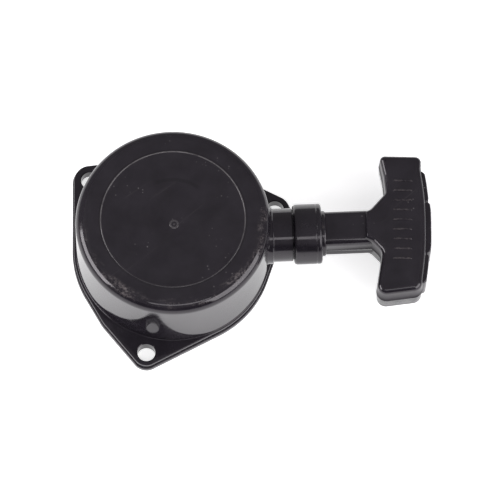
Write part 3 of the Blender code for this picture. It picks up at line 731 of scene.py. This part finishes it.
def make_case(finish):
    top = DRUM_HEIGHT - RIDGE_HEIGHT
    rim = arc((DRUM_RADIUS - RIM_ROUNDING, top - RIM_ROUNDING), RIM_ROUNDING, 90, 0, 18)
    foot = 0.5
    foot_radius = DRUM_BASE_RADIUS - 0.03
    ridge = [(-0.6, 0.0), (-0.32, 0.04), (-0.1, RIDGE_HEIGHT), (0.1, RIDGE_HEIGHT), (0.32, 0.04), (0.6, 0.0)]
    profile = [
        (0, top), *[(RIDGE_RADIUS + x, top + z) for x, z in ridge], *rim,
        *arc((foot_radius + foot, FLANGE_THICKNESS + foot + 0.01), foot, 180, 270, 5),
        (foot_radius + foot, 4.0), (0, 4.0),
    ]
    case = lathe("starter_case_moulding", profile, 224)

    flange_edge = [
        (-0.3, 0.0), (-0.08, 0.08), (0.0, 0.3), (0.0, 2.6), (-0.1, 2.85), (-0.3, 3.0), (-0.85, 3.06),
        (-0.72, 3.3), (-0.6, 3.5), (-0.6, 5.4), (-0.68, 5.75), (-0.85, 5.93), (-1.15, 6.0),
    ]
    steps = [("UNION", stack("flange", flange_outline, flange_edge))]

    neck = [
        (0, NECK_END), (COLLAR_BORE_RADIUS - 0.3, NECK_END), (COLLAR_BORE_RADIUS - 0.3, COLLAR_START - 0.3),
        (NECK_RADIUS - 0.3, COLLAR_START - 0.3), (NECK_RADIUS, COLLAR_START - 0.6),
        (NECK_RADIUS, PAD_END + 0.5), *arc((NECK_RADIUS + 0.35, PAD_END + 0.35), 0.35, 180, 270, 3),
        (PAD_RADIUS - 0.25, PAD_END), (PAD_RADIUS, PAD_END - 0.25), (PAD_RADIUS + 0.02, 42.6),
        (PAD_RADIUS + 0.4, 41.6), (PAD_RADIUS - 0.6, NECK_ROOT), (0, NECK_ROOT),
    ]
    steps.append(("UNION", lathe("neck", neck, 112, along_neck)))

    ceiling = DRUM_HEIGHT - ROOF
    mouth = DRUM_BASE_RADIUS - WALL
    cavity = [
        (0, POST_BOTTOM + 16), (3.2, POST_BOTTOM + 16), (3.2, POST_BOTTOM + 0.3), (3.5, POST_BOTTOM),
        (POST_RADIUS - 0.4, POST_BOTTOM), (POST_RADIUS, POST_BOTTOM + 0.4), (POST_RADIUS, ceiling - 1.0),
        (POST_RADIUS + 1.0, ceiling), (SPRING_RING[0] - 0.5, ceiling), (SPRING_RING[0], ceiling - 0.5),
        (SPRING_RING[0], SPRING_RING_BOTTOM), (SPRING_RING[1], SPRING_RING_BOTTOM),
        (SPRING_RING[1], ceiling - 0.5), (SPRING_RING[1] + 0.5, ceiling),
        (DRUM_RADIUS - WALL - 2.0, ceiling), (DRUM_RADIUS - WALL, ceiling - 2.0),
        (mouth, 0.5), (mouth + 0.5, 0.0), (mouth + 0.5, -1.0), (0, -1.0),
    ]
    steps.append(("DIFFERENCE", lathe("cavity", cavity, 224)))
    bore = [(0, NECK_END + 1), (NECK_BORE_RADIUS, NECK_END + 1), (NECK_BORE_RADIUS, 36), (0, 36)]
    steps.append(("DIFFERENCE", lathe("bore", bore, 96, along_neck)))
    hole = [
        (0, 8), (BOLT_HOLE_RADIUS + 0.35, 8), (BOLT_HOLE_RADIUS + 0.35, FLANGE_THICKNESS),
        (BOLT_HOLE_RADIUS, 5.65), (BOLT_HOLE_RADIUS, 0.3), (BOLT_HOLE_RADIUS + 0.3, 0.0),
        (BOLT_HOLE_RADIUS + 0.3, -1), (0, -1),
    ]
    for angle, distance, _ in EARS:
        spot = around(distance, math.radians(angle))
        steps.append(("DIFFERENCE", lathe("hole", hole, 64, spot)))
    mark = [(0, 0.12), (1.2, 0.12), (1.25, -0.5), (0, -0.5)]
    for number in range(EJECTOR_MARKS):
        spot = around(EJECTOR_DISTANCE, math.tau * (number + 0.3) / EJECTOR_MARKS)
        steps.append(("DIFFERENCE", lathe("ejector_mark", mark, 28, spot)))
    combined(case, *steps)

    gate = [
        (0, 0.1), (0.3, 0.08), (0.5, 0.0), (0.9, 0.02), (1.2, 0.14), (1.6, 0.17), (1.9, 0.1), (2.1, -0.05),
        (0, -0.3),
    ]
    gate_mark = lathe("gate", gate, 48, at(*GATE, top))
    case = joined("starter_case_moulding", case, gate_mark)
    finished(case, finish, "case", ["starter_case"])


def make_collar(finish):
    front = arc((COLLAR_RADIUS - 1.4, COLLAR_END - 1.2), (1.4, 1.2), 90, 0, 7)
    rear = arc((COLLAR_RADIUS - 1.5, COLLAR_START + 1.7), (1.5, 1.7), 0, -90, 8)
    groove = [(COLLAR_RADIUS - depth, x) for depth, x in ((0, 64.4), (0.14, 64.2), (0.14, 64.0), (0, 63.8))]
    profile = [
        *front, *groove, *rear, (COLLAR_BORE_RADIUS + 0.2, COLLAR_START),
        (COLLAR_BORE_RADIUS, COLLAR_START + 0.2), (COLLAR_BORE_RADIUS, COLLAR_END - 0.9),
        (COLLAR_BORE_RADIUS + 0.25, COLLAR_END - 0.3),
    ]
    collar = lathe("outlet_collar_moulding", profile, 128, along_neck, closed=True)
    finished(collar, finish, "case", ["outlet_collar"])


# ---------------------------------------------------------------- T-handle

STEM_END = 88.0
STEM_WIDTH = 16.3
STEM_ROUNDING = 3.4
FOOT_START = 60.6
FOOT_END = 68.3
FOOT_RADIUS = 10.2
BAR_RAKE = math.radians(-3.5)
BAR_HALF_HEIGHT = 10.0
BAR_ROUNDING = 2.4
BAR_DRAFT = 0.35              # the bar is narrower by this much on its upper and lower faces
BAR_OUTER_X = 25.4
BAR_OUTER_RADIUS = 143.6
BAR_NEAR_EXTRA = 0.034
CAP_HALF_LENGTH = 26.6
CAP_HALF_HEIGHT = 7.0
CAP_INNER_X = 23.2
CAP_PROUD = 2.2
PART_LINE = (0.22, 0.09)      # half width and height of the parting line's ridge
POCKET_X = 11.0
POCKET_HALF = (7.0, 5.5)
RIB_COUNT = 9
RIB_SPAN = (-16.0, 21.0)
RIB_X = (10.3, 18.8)
RIB_HALF_WIDTH = 0.5
ROPE_HOLE_RADIUS = 2.1


def on_bar(point):
    """Puts a shape on the handle's bar, whose frame starts where the stem ends."""
    return at(STEM_END, 0, NECK_Z, BAR_RAKE)(point)


def bar_edge_x(y):
    """The bar's bulging outer side at a distance along the bar. The arm on -Y is a little wider."""
    bulge = math.sqrt(BAR_OUTER_RADIUS ** 2 - y ** 2) - BAR_OUTER_RADIUS
    return BAR_OUTER_X + bulge + BAR_NEAR_EXTRA * max(0.0, -y)


def bar_outline():
    """The T's outline seen from above, with the stem's end, anticlockwise."""
    half = STEM_WIDTH / 2
    near = [(-2.5, 1.6 - half, 0), (1.0, 0.2 - half, 3.5), (5.5, -12.6, 4.0)]
    near += [(2.6, -33.8, 4.4), (23.6, -30.6, 4.4)]
    outer = [(bar_edge_x(y), y, 0) for y in (-24, -20, -16, -12, -8, -4, 0, 4, 8, 12, 16, 20, 24, 27)]
    far = [(23.1, 33.5, 3.0), (3.2, 33.5, 2.4), (4.4, 29.0, 4.0), (5.6, 23.5, 8.0)]
    far += [(6.5, 15.6, 2.5), (0.1, half - 0.2, 5.0), (-2.5, half - 1.6, 0)]
    return rounded_corners([*near, *outer, *far], 9)


def bar_stations():
    turned_edge = arc((-BAR_ROUNDING, BAR_ROUNDING - BAR_HALF_HEIGHT), BAR_ROUNDING, -90, 0, 7)
    low, high = turned_edge, [(x, -z) for x, z in reversed(turned_edge)]
    width, proud = PART_LINE
    stations = low + [(0.0, -width), (proud, -width / 3), (proud, width / 3), (0.0, width)] + high
    return [(offset - BAR_DRAFT * abs(z) / BAR_HALF_HEIGHT, z) for offset, z in stations]


def stem_loops():
    """The stem's rounded square section, with its parting line, at stations along +X."""
    half = STEM_WIDTH / 2
    width, proud = PART_LINE
    corners = [
        (half, -half, STEM_ROUNDING), (half, -width, 0.0), (half + proud, -width / 3, 0.0),
        (half + proud, width / 3, 0.0), (half, width, 0.0), (half, half, STEM_ROUNDING),
        (-half, half, STEM_ROUNDING), (-half, width, 0.0), (-half - proud, width / 3, 0.0),
        (-half - proud, -width / 3, 0.0), (-half, -width, 0.0), (-half, -half, STEM_ROUNDING),
    ]
    section = rounded_corners(corners, 8)
    return [[(p.x, p.y, x) for p in section] for x in (FOOT_END - 1.0, STEM_END + 8.0)]


def make_grip(finish):
    grip = plate("handle_grip_moulding", bar_outline(), bar_stations(), on_bar)
    foot = [
        (0, FOOT_END), *arc((FOOT_RADIUS - 0.9, FOOT_END - 0.9), 0.9, 90, 0, 4),
        *arc((FOOT_RADIUS - 0.8, FOOT_START + 0.8), 0.8, 0, -90, 4), (0, FOOT_START),
    ]
    recess = (CAP_HALF_LENGTH + 0.3, CAP_HALF_HEIGHT + 0.3)
    opening = rectangle((-recess[0], -recess[1]), recess, 1.2, 5)
    seat = [[(x, p.x, p.y) for p in opening] for x in (CAP_INNER_X - 0.3, 40.0)]
    opening = rectangle((-POCKET_HALF[0], -POCKET_HALF[1]), POCKET_HALF, 1.0, 4)
    pocket = [[(x, p.x, p.y) for p in opening] for x in (POCKET_X, CAP_INNER_X + 1.0)]
    rope_hole = [
        (0, STEM_END + 13), (ROPE_HOLE_RADIUS, STEM_END + 13), (ROPE_HOLE_RADIUS, FOOT_START + 0.6),
        (ROPE_HOLE_RADIUS + 0.6, FOOT_START - 1), (0, FOOT_START - 1),
    ]
    combined(
        grip,
        ("UNION", loft("stem", stem_loops(), along_neck)),
        ("UNION", lathe("foot", foot, 96, along_neck)),
        ("DIFFERENCE", loft("cap_seat", seat, on_bar)),
        ("DIFFERENCE", loft("pocket", pocket, on_bar)),
        ("DIFFERENCE", lathe("rope_hole", rope_hole, 40, along_neck)),
    )
    stations = [(0.0, -0.3), (0.0, 0.08), (-0.12, 0.2), (-0.3, 0.24)]
    stations = [(offset, BAR_HALF_HEIGHT + height) for offset, height in stations]
    ribs = []
    for number in range(RIB_COUNT):
        y = RIB_SPAN[0] + (RIB_SPAN[1] - RIB_SPAN[0]) * number / (RIB_COUNT - 1)
        rib = rectangle((RIB_X[0], y - RIB_HALF_WIDTH), (RIB_X[1], y + RIB_HALF_WIDTH), 0.49, 6)
        ribs.append(plate("rib", rib, stations, on_bar))
    grip = joined("handle_grip_moulding", grip, *ribs)
    finished(grip, finish, "handle", ["handle_grip"])


def make_cap(finish):
    """Cover on the bar's outer side: a crowned pad between two thinner wings, with a slit beside each."""
    slit = (11.9, 13.1)
    wing, crown = 1.5, CAP_PROUD - 0.04
    side = [(26.6, 0.4), (26.3, 1.0), (25.4, wing), (22.0, wing), (18.0, wing), (14.0, wing)]
    side += [(slit[1] + 0.1, wing - 0.2), (slit[1], 0.6), (slit[0], 0.6), (slit[0] - 0.1, crown - 0.6)]
    side += [(slit[0] - 0.7, crown - 0.15), (9.0, crown), (6.0, crown), (3.0, crown)]
    near = [Vector((bar_edge_x(-y) + proud, -y)) for y, proud in side]
    far = [Vector((bar_edge_x(y) + proud, y)) for y, proud in reversed(side)]
    middle = Vector((bar_edge_x(0) + crown, 0))
    inner = [Vector((CAP_INNER_X, CAP_HALF_LENGTH)), Vector((CAP_INNER_X, -CAP_HALF_LENGTH))]
    outline = [*near, middle, *far, *inner]

    def outline_at(offset):
        """Only the outer side draws in towards the edges."""
        return [Vector((p.x + (offset if p.x > CAP_INNER_X + 0.1 else 0), p.y)) for p in outline]

    stations = edge_stations(-CAP_HALF_HEIGHT, CAP_HALF_HEIGHT, 0.9, 5)
    cap = stack("handle_cap_moulding", outline_at, stations, on_bar)
    finished(cap, finish, "handle", ["handle_cap"])


# ---------------------------------------------------------------- guide bush, spring and reel

SPRING_TURNS = 6
SPRING_REACH = (10.95, 29.35)
SPRING_MIDDLE = 35.75
REEL_RADIUS = 37.0
REEL_BORE = 6.4
REEL_BOTTOM = 10.6
REEL_HUB = 19.5
GROOVE_FLOOR = 21.6
GROOVE_HALF = 2.1
REEL_FLANGE = 2.2
ARBOR_RADIUS = 9.6
ARBOR_TOP = 39.6
KNOT_ANGLE = math.radians(150)
KNOT_DISTANCE = 15.2
KNOT_HEIGHT = 11.2
REEL_RIBS = 16
PAWL_PIVOT = 15.0
PAWL_BOTTOM = 5.9
PAWL_TOP = 10.2
PAWL_LENGTH = 14.0
PIN_RADIUS = 1.5
EYE_RADIUS = 1.8
GUIDE_RADIUS = 12.0
GUIDE_BOTTOM = 3.5
GUIDE_TOP = 5.3
DIMPLE_DISTANCE = 8.9
SCREW_RADIUS = 2.9
THREADS = 12
THREAD_PITCH = 1.0
THREAD_TOP = 22.2
THREAD_SHAPE = ((0.0, 0.0), (0.0, 0.3), (0.35, 0.5), (0.35, 0.6))
ROPE_RADIUS = 1.5
ROPE_TURNS = 4
ROPE_PITCH = 3.25
ROPE_OUTER_TURN = 33.3
ROPE_TAIL = 11.5
LEAD_STATIONS = (47, 50, *(52 + 0.5 * k for k in range(29)), 70, 75, 80, 85, 90, 95, 100.4)
HANDLE_KNOT_X = 104.7
BUSH_START = 40.6
BUSH_END = 58.0
BUSH_BORE = 2.0
FLARE = 4.6


def circle(radius, count=20):
    return arc((0, 0), radius, 0, 360 - 360 / count, count - 1)


def softened(inner, outer, low, high, edge=0.12):
    """The profile of a ring with slightly broken edges."""
    return [
        (inner, high - edge), (inner + edge, high), (outer - edge, high), (outer, high - edge),
        (outer, low + edge), (outer - edge, low), (inner + edge, low), (inner, low + edge),
    ]


def make_bush(finish):
    flare = arc((BUSH_BORE + FLARE, BUSH_START + FLARE), FLARE, 268, 180, 14)
    profile = [(7.2, BUSH_END - 0.3), (7.2, BUSH_START + 0.2), (7.0, BUSH_START), *flare]
    profile += [(BUSH_BORE, BUSH_END - 0.4), (BUSH_BORE + 0.4, BUSH_END), (6.9, BUSH_END)]
    bush = lathe("rope_bush_moulding", profile, 72, along_neck, closed=True)
    finished(bush, finish, "case", ["rope_bush"])


def make_spring(zinc, blued):
    cup = [
        (31.0, 40.6), (30.9, 40.95), (30.5, 41.1), (7.1, 41.1), (7.1, 40.5), (30.3, 40.5), (30.4, 40.4),
        (30.4, SPRING_RING_BOTTOM), (31.0, SPRING_RING_BOTTOM),
    ]
    cup = lathe("spring_cup_sheet", cup, 128, closed=True)
    finished(cup, zinc, "case", ["spring_case"])
    cover = lathe("spring_cover_sheet", softened(11.0, 33.2, 29.9, 30.5), 128, closed=True)
    finished(cover, zinc, "case", ["spring_cover"])
    count = SPRING_TURNS * 64
    inner, outer = SPRING_REACH
    path = []
    for i in range(count + 1):
        turn = math.tau * SPRING_TURNS * i / count
        radius = inner + (outer - inner) * i / count
        path.append((radius * math.cos(turn), radius * math.sin(turn), SPRING_MIDDLE))
    strip = rectangle((-0.35, -4.35), (0.35, 4.35), 0.15)
    spring = sweep("mainspring_strip", path, [(p.x, p.y) for p in strip])
    finished(spring, blued, "case", ["mainspring"])


def make_reel(finish):
    low, high = NECK_Z - GROOVE_HALF, NECK_Z + GROOVE_HALF
    under = low - REEL_FLANGE
    profile = [
        (ARBOR_RADIUS - 0.3, ARBOR_TOP), (ARBOR_RADIUS, ARBOR_TOP - 0.3), (ARBOR_RADIUS, 29.0), (13.7, 29.0),
        (14.0, 28.7), (14.0, high + REEL_FLANGE), (REEL_RADIUS - 0.5, high + REEL_FLANGE),
        (REEL_RADIUS, high + REEL_FLANGE - 0.5), (REEL_RADIUS, high + 0.9), (REEL_RADIUS - 0.3, high + 0.57),
        (24.6, high), (GROOVE_FLOOR - 3, high), (GROOVE_FLOOR - 3, low), (24.6, low),
        (REEL_RADIUS - 0.3, low - 0.57), (REEL_RADIUS, low - 0.9), (REEL_RADIUS, under + 0.5),
        (REEL_RADIUS - 0.5, under), (36.2, under), (35.9, under + 0.35),
        (REEL_HUB + 1.6, under + 0.35), (REEL_HUB + 1.2, under), (REEL_HUB + 0.3, under),
        (REEL_HUB, under - 0.3), (REEL_HUB, REEL_BOTTOM + 0.5), (REEL_HUB - 0.5, REEL_BOTTOM),
        (REEL_BORE + 0.4, REEL_BOTTOM), (REEL_BORE, REEL_BOTTOM + 0.4), (REEL_BORE, ARBOR_TOP),
    ]
    pocket = [
        (0, high + 1.0), (3.6, high + 1.0), (3.6, REEL_BOTTOM + 0.4), (4.0, REEL_BOTTOM), (4.0, 9.0),
        (0, 9.0),
    ]
    steps = [("DIFFERENCE", lathe("knot_pocket", pocket, 48, around(KNOT_DISTANCE, KNOT_ANGLE)))]
    hole = [(0, low - 0.8), (EYE_RADIUS, low - 0.8), (EYE_RADIUS, 9.0), (0, 9.0)]
    for side in (1, -1):
        steps.append(("DIFFERENCE", lathe("pin_hole", hole, 32, at(0, side * PAWL_PIVOT))))
    reel = combined(lathe("rope_reel_moulding", profile, 192, closed=True), *steps)
    root, tip = REEL_HUB - 0.4, 35.6
    rib = rounded_corners([(root, -0.5, 0.2), (tip, -0.5, 0.4), (tip, 0.5, 0.4), (root, 0.5, 0.2)], 3)
    stations = [(-0.25, under - 0.55), (0.0, under - 0.3), (0.0, under + 0.5)]
    ribs = []
    for number in range(REEL_RIBS):
        turn = math.tau * (number + 0.5) / REEL_RIBS
        ribs.append(plate("rib", rib, stations, at(0, 0, 0, turn)))
    reel = joined("rope_reel_moulding", reel, *ribs)
    finished(reel, finish, "reel", ["rope_reel"])


def rope_geometry():
    """The cord's straight run from the outer turn to the bush's flare: where it leaves the turn, where it
    meets the flare, the flare's centre, the bend's radius, and the angle of the run's normal.

    The run is the inner tangent of the outer turn and of the flare's circle.
    """
    bend = FLARE + BUSH_BORE
    flare_centre = Vector((BUSH_START + FLARE, bend))
    lean = math.acos((ROPE_OUTER_TURN + bend) / flare_centre.length)
    swing = flare_centre.angle_signed(Vector((1, 0))) + lean
    normal = Vector((math.cos(swing), math.sin(swing)))
    return normal * ROPE_OUTER_TURN, flare_centre - normal * bend, flare_centre, bend, swing


def knotted(name, reach, cord, centre):
    """A tight overhand knot: a closed trefoil of cord."""
    path = []
    for i in range(97):
        t = math.tau * i / 96
        x = math.sin(t) + 2 * math.sin(2 * t)
        y = math.cos(t) - 2 * math.cos(2 * t)
        z = -1.08 * math.sin(3 * t)
        path.append(tuple(middle + reach * value / 3 for middle, value in zip(centre, (x, y, z))))
    return sweep(name, path, circle(cord, 16))


def make_rope(cord, cord_lead):
    leave, meet, flare_centre, bend, swing = rope_geometry()
    along = Vector((math.sin(swing), -math.cos(swing)))
    inner = ROPE_OUTER_TURN - ROPE_PITCH * ROPE_TURNS
    steps = ROPE_TURNS * 72
    path = []
    for i in range(steps + 1):
        turn = swing + math.tau * ROPE_TURNS * (1 - i / steps)
        radius = inner + ROPE_PITCH * ROPE_TURNS * i / steps
        path.append((radius * math.cos(turn), radius * math.sin(turn), NECK_Z))
    path += [(*(leave + along * ROPE_TAIL * k / 4), NECK_Z) for k in (1, 2, 3, 4)]
    finished(sweep("rope_turns", path, circle(ROPE_RADIUS)), cord, "reel", ["rope_wound"])

    x, y = KNOT_DISTANCE * math.cos(KNOT_ANGLE), KNOT_DISTANCE * math.sin(KNOT_ANGLE)
    finished(knotted("rope_reel_knot", 1.5, 1.2, (x, y, KNOT_HEIGHT)), cord, "reel", ["reel_knot"])

    start = leave + along * (ROPE_TAIL + 0.3)
    points = [start, start.lerp(meet, 0.5)]
    points += [Vector(p) for p in arc(flare_centre, bend, 180 + math.degrees(swing), 270, 14)]
    points += [Vector((x, 0)) for x in LEAD_STATIONS]
    lead = sweep("rope_pulled_out", [(p.x, p.y, NECK_Z) for p in points], circle(ROPE_RADIUS))
    finished(lead, cord_lead, None, ["rope_lead"])
    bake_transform(lead)


def make_handle_knot(cord, zinc):
    """The knot in the grip's pocket and the washer that it pulls on."""
    washer = lathe("knot_washer_disc", softened(1.8, 4.4, 99.6, 100.4), 48, along_neck, closed=True)
    finished(washer, zinc, "handle", ["knot_washer"])
    outer_knot = knotted("rope_handle_knot", 2.5, ROPE_RADIUS, (HANDLE_KNOT_X, 0.0, NECK_Z))
    finished(outer_knot, cord, "handle", ["handle_knot"])


# ---------------------------------------------------------------- pawls, guide and screw

def coil(name, radius, bottom, rise, wire, steps, place):
    """Two turns of round wire."""
    path = []
    for i in range(2 * steps + 1):
        turn = math.tau * i / steps
        path.append((radius * math.cos(turn), radius * math.sin(turn), bottom + rise * i / (2 * steps)))
    return sweep(name, path, circle(wire, 10), place)


def rounded_plate(name, outline, low, high, edge, place):
    return plate(name, outline, edge_stations(low, high, edge, 3), place)


def make_pawls(steel):
    nose = [(PAWL_LENGTH * 0.55, -3.0, 1.5), (PAWL_LENGTH, -3.2, 0.6), (PAWL_LENGTH + 1.0, 0.6, 0.6)]
    corners = [(x, y, 0) for x, y in arc((0, 0), 3.4, 100, 262, 24)]
    outline = rounded_corners([*corners, *nose, (PAWL_LENGTH - 3.6, 2.0, 2.0)], 6)
    for number, side, body in ((1, 1, "pawl_a"), (2, -1, "pawl_b")):
        turn = 0.0 if side > 0 else math.pi
        spot = at(0, side * PAWL_PIVOT, 0, turn)
        pawl = rounded_plate(f"pawl_{number}_casting", outline, PAWL_BOTTOM, PAWL_TOP, 0.35, spot)
        mouth = EYE_RADIUS + 0.3
        eye = [
            (0, PAWL_TOP + 1), (mouth, PAWL_TOP + 1), (mouth, PAWL_TOP), (EYE_RADIUS, PAWL_TOP - 0.3),
            (EYE_RADIUS, PAWL_BOTTOM + 0.3), (mouth, PAWL_BOTTOM), (mouth, PAWL_BOTTOM - 1),
            (0, PAWL_BOTTOM - 1),
        ]
        combined(pawl, ("DIFFERENCE", lathe("eye", eye, 36, spot)), solver="MANIFOLD")
        finished(pawl, steel, body, [f"pawl_{number}"])
        pin = [
            (0, 14.7), (PIN_RADIUS - 0.3, 14.7), (PIN_RADIUS, 14.4), (PIN_RADIUS, 3.8), (2.45, 3.8),
            (2.6, 3.65), (2.6, 3.35), (2.3, 3.12), (0, 3.1),
        ]
        pin = lathe(f"pawl_pin_{number}_rivet", pin, 40, spot)
        finished(pin, steel, "reel", [f"pawl_pin_{number}"])
        spring = coil(f"pawl_spring_{number}_wire", 2.2, 4.3, 1.1, 0.22, 36, at(0, side * PAWL_PIVOT))
        finished(spring, steel, "reel", [f"pawl_spring_{number}"])


def make_guide(zinc, steel):
    edge = softened(SCREW_RADIUS + 0.3, GUIDE_RADIUS, GUIDE_BOTTOM, GUIDE_TOP, 0.2)
    disc = lathe("pawl_guide_plate", edge, 96, closed=True)
    outer = [(x, y, 0) for x, y in arc((0, 0), GUIDE_RADIUS - 0.2, 56, 34, 8)]
    outline = rounded_corners([*outer[::-1], (5.8, 8.2, 0.5), (8.3, 5.9, 0.5)][::-1], 4)
    lugs = []
    for turn in (0.0, math.pi):
        lugs.append(rounded_plate("lug", outline, GUIDE_TOP - 0.5, PAWL_TOP - 0.6, 0.2, at(0, 0, 0, turn)))
    combined(disc, *[("UNION", lug) for lug in lugs])
    dimples = []
    dimple = [(0, 3.9), (0.9, 3.8), (1.15, 3.0), (0, 3.0)]
    for angle in (110, 290, 20, 200):
        spot = around(DIMPLE_DISTANCE, math.radians(angle))
        dimples.append(("DIFFERENCE", lathe("dimple", dimple, 28, spot)))
    combined(disc, *dimples)
    finished(disc, zinc, "guide", ["pawl_guide"])
    brake = coil("brake_spring_wire", 7.2, 6.2, 3.2, 0.5, 48, upright)
    finished(brake, steel, "guide", ["brake_spring"])

    washer = lathe("screw_washer_disc", softened(3.2, 6.5, 2.7, 3.2), 72, closed=True)
    finished(washer, zinc, "case", ["screw_washer"])
    thread = []
    for number in range(THREADS):
        z = THREAD_TOP - number * THREAD_PITCH
        thread += [(SCREW_RADIUS - cut, z - down) for cut, down in THREAD_SHAPE]
    profile = [
        (0, 22.5), (SCREW_RADIUS - 0.4, 22.5), *thread, (SCREW_RADIUS, 9.0), (SCREW_RADIUS, 2.4), (4.85, 2.4),
        (5.0, 2.25), (5.0, 1.3), *arc((4.2, 1.4), 0.8, -8, -84, 6), (3.4, 0.6), (0, 0.6),
    ]
    screw = lathe("centre_screw_head", profile, 64)
    slot = rectangle((-0.6, -6), (0.6, 6), 0)
    combined(screw, ("DIFFERENCE", stack("slot", lambda offset: slot, [(0, 0.0), (0, 1.4)])))
    finished(screw, zinc, "case", ["centre_screw"])


make_camera()
make_lights()
make_floor()
case_plastic = moulded_black(
    "case_plastic", top_roughness=0.38, wall_roughness=0.09, grain=0.000022,
    marks=drum_marks, wear=rim_wear, satin_above=0.03,
)
grip_plastic = moulded_black(
    "grip_plastic", top_roughness=0.36, wall_roughness=0.14, grain=0.00003, wear=rib_wear, shine=0.13,
)
collar_plastic = moulded_black(
    "collar_plastic", top_roughness=0.24, wall_roughness=0.14, grain=0.000012, shine=0.25,
)
cap_plastic = moulded_black("cap_plastic", top_roughness=0.22, wall_roughness=0.10, grain=0.000008)
zinc = metal("zinc_plating", ZINC_LIGHT, ZINC_DARK, roughness=0.32, scale=160, grain=0.00001)
steel = metal("bare_steel", STEEL_LIGHT, STEEL_DARK, roughness=0.34, scale=220, grain=0.000012)
blued = metal("blued_strip", BLUED_LIGHT, BLUED_DARK, roughness=0.30, scale=120, grain=0.00001)
reel_plastic = dull_plastic("reel_plastic", REEL_LIGHT, REEL_DARK, roughness=0.45, grain=0.00002)
nylon = dull_plastic("nylon_natural", NYLON_LIGHT, NYLON_DARK, roughness=0.42, grain=0.000012)
cord = braided("cord_wound", along_x=False)
cord_lead = braided("cord_lead", along_x=True)
make_case(case_plastic)
make_collar(collar_plastic)
make_grip(grip_plastic)
make_cap(cap_plastic)
make_bush(nylon)
make_spring(zinc, blued)
make_reel(reel_plastic)
make_rope(cord, cord_lead)
make_handle_knot(cord, zinc)
make_pawls(steel)
make_guide(zinc, steel)

bpy.context.scene.view_settings.view_transform = "Standard"
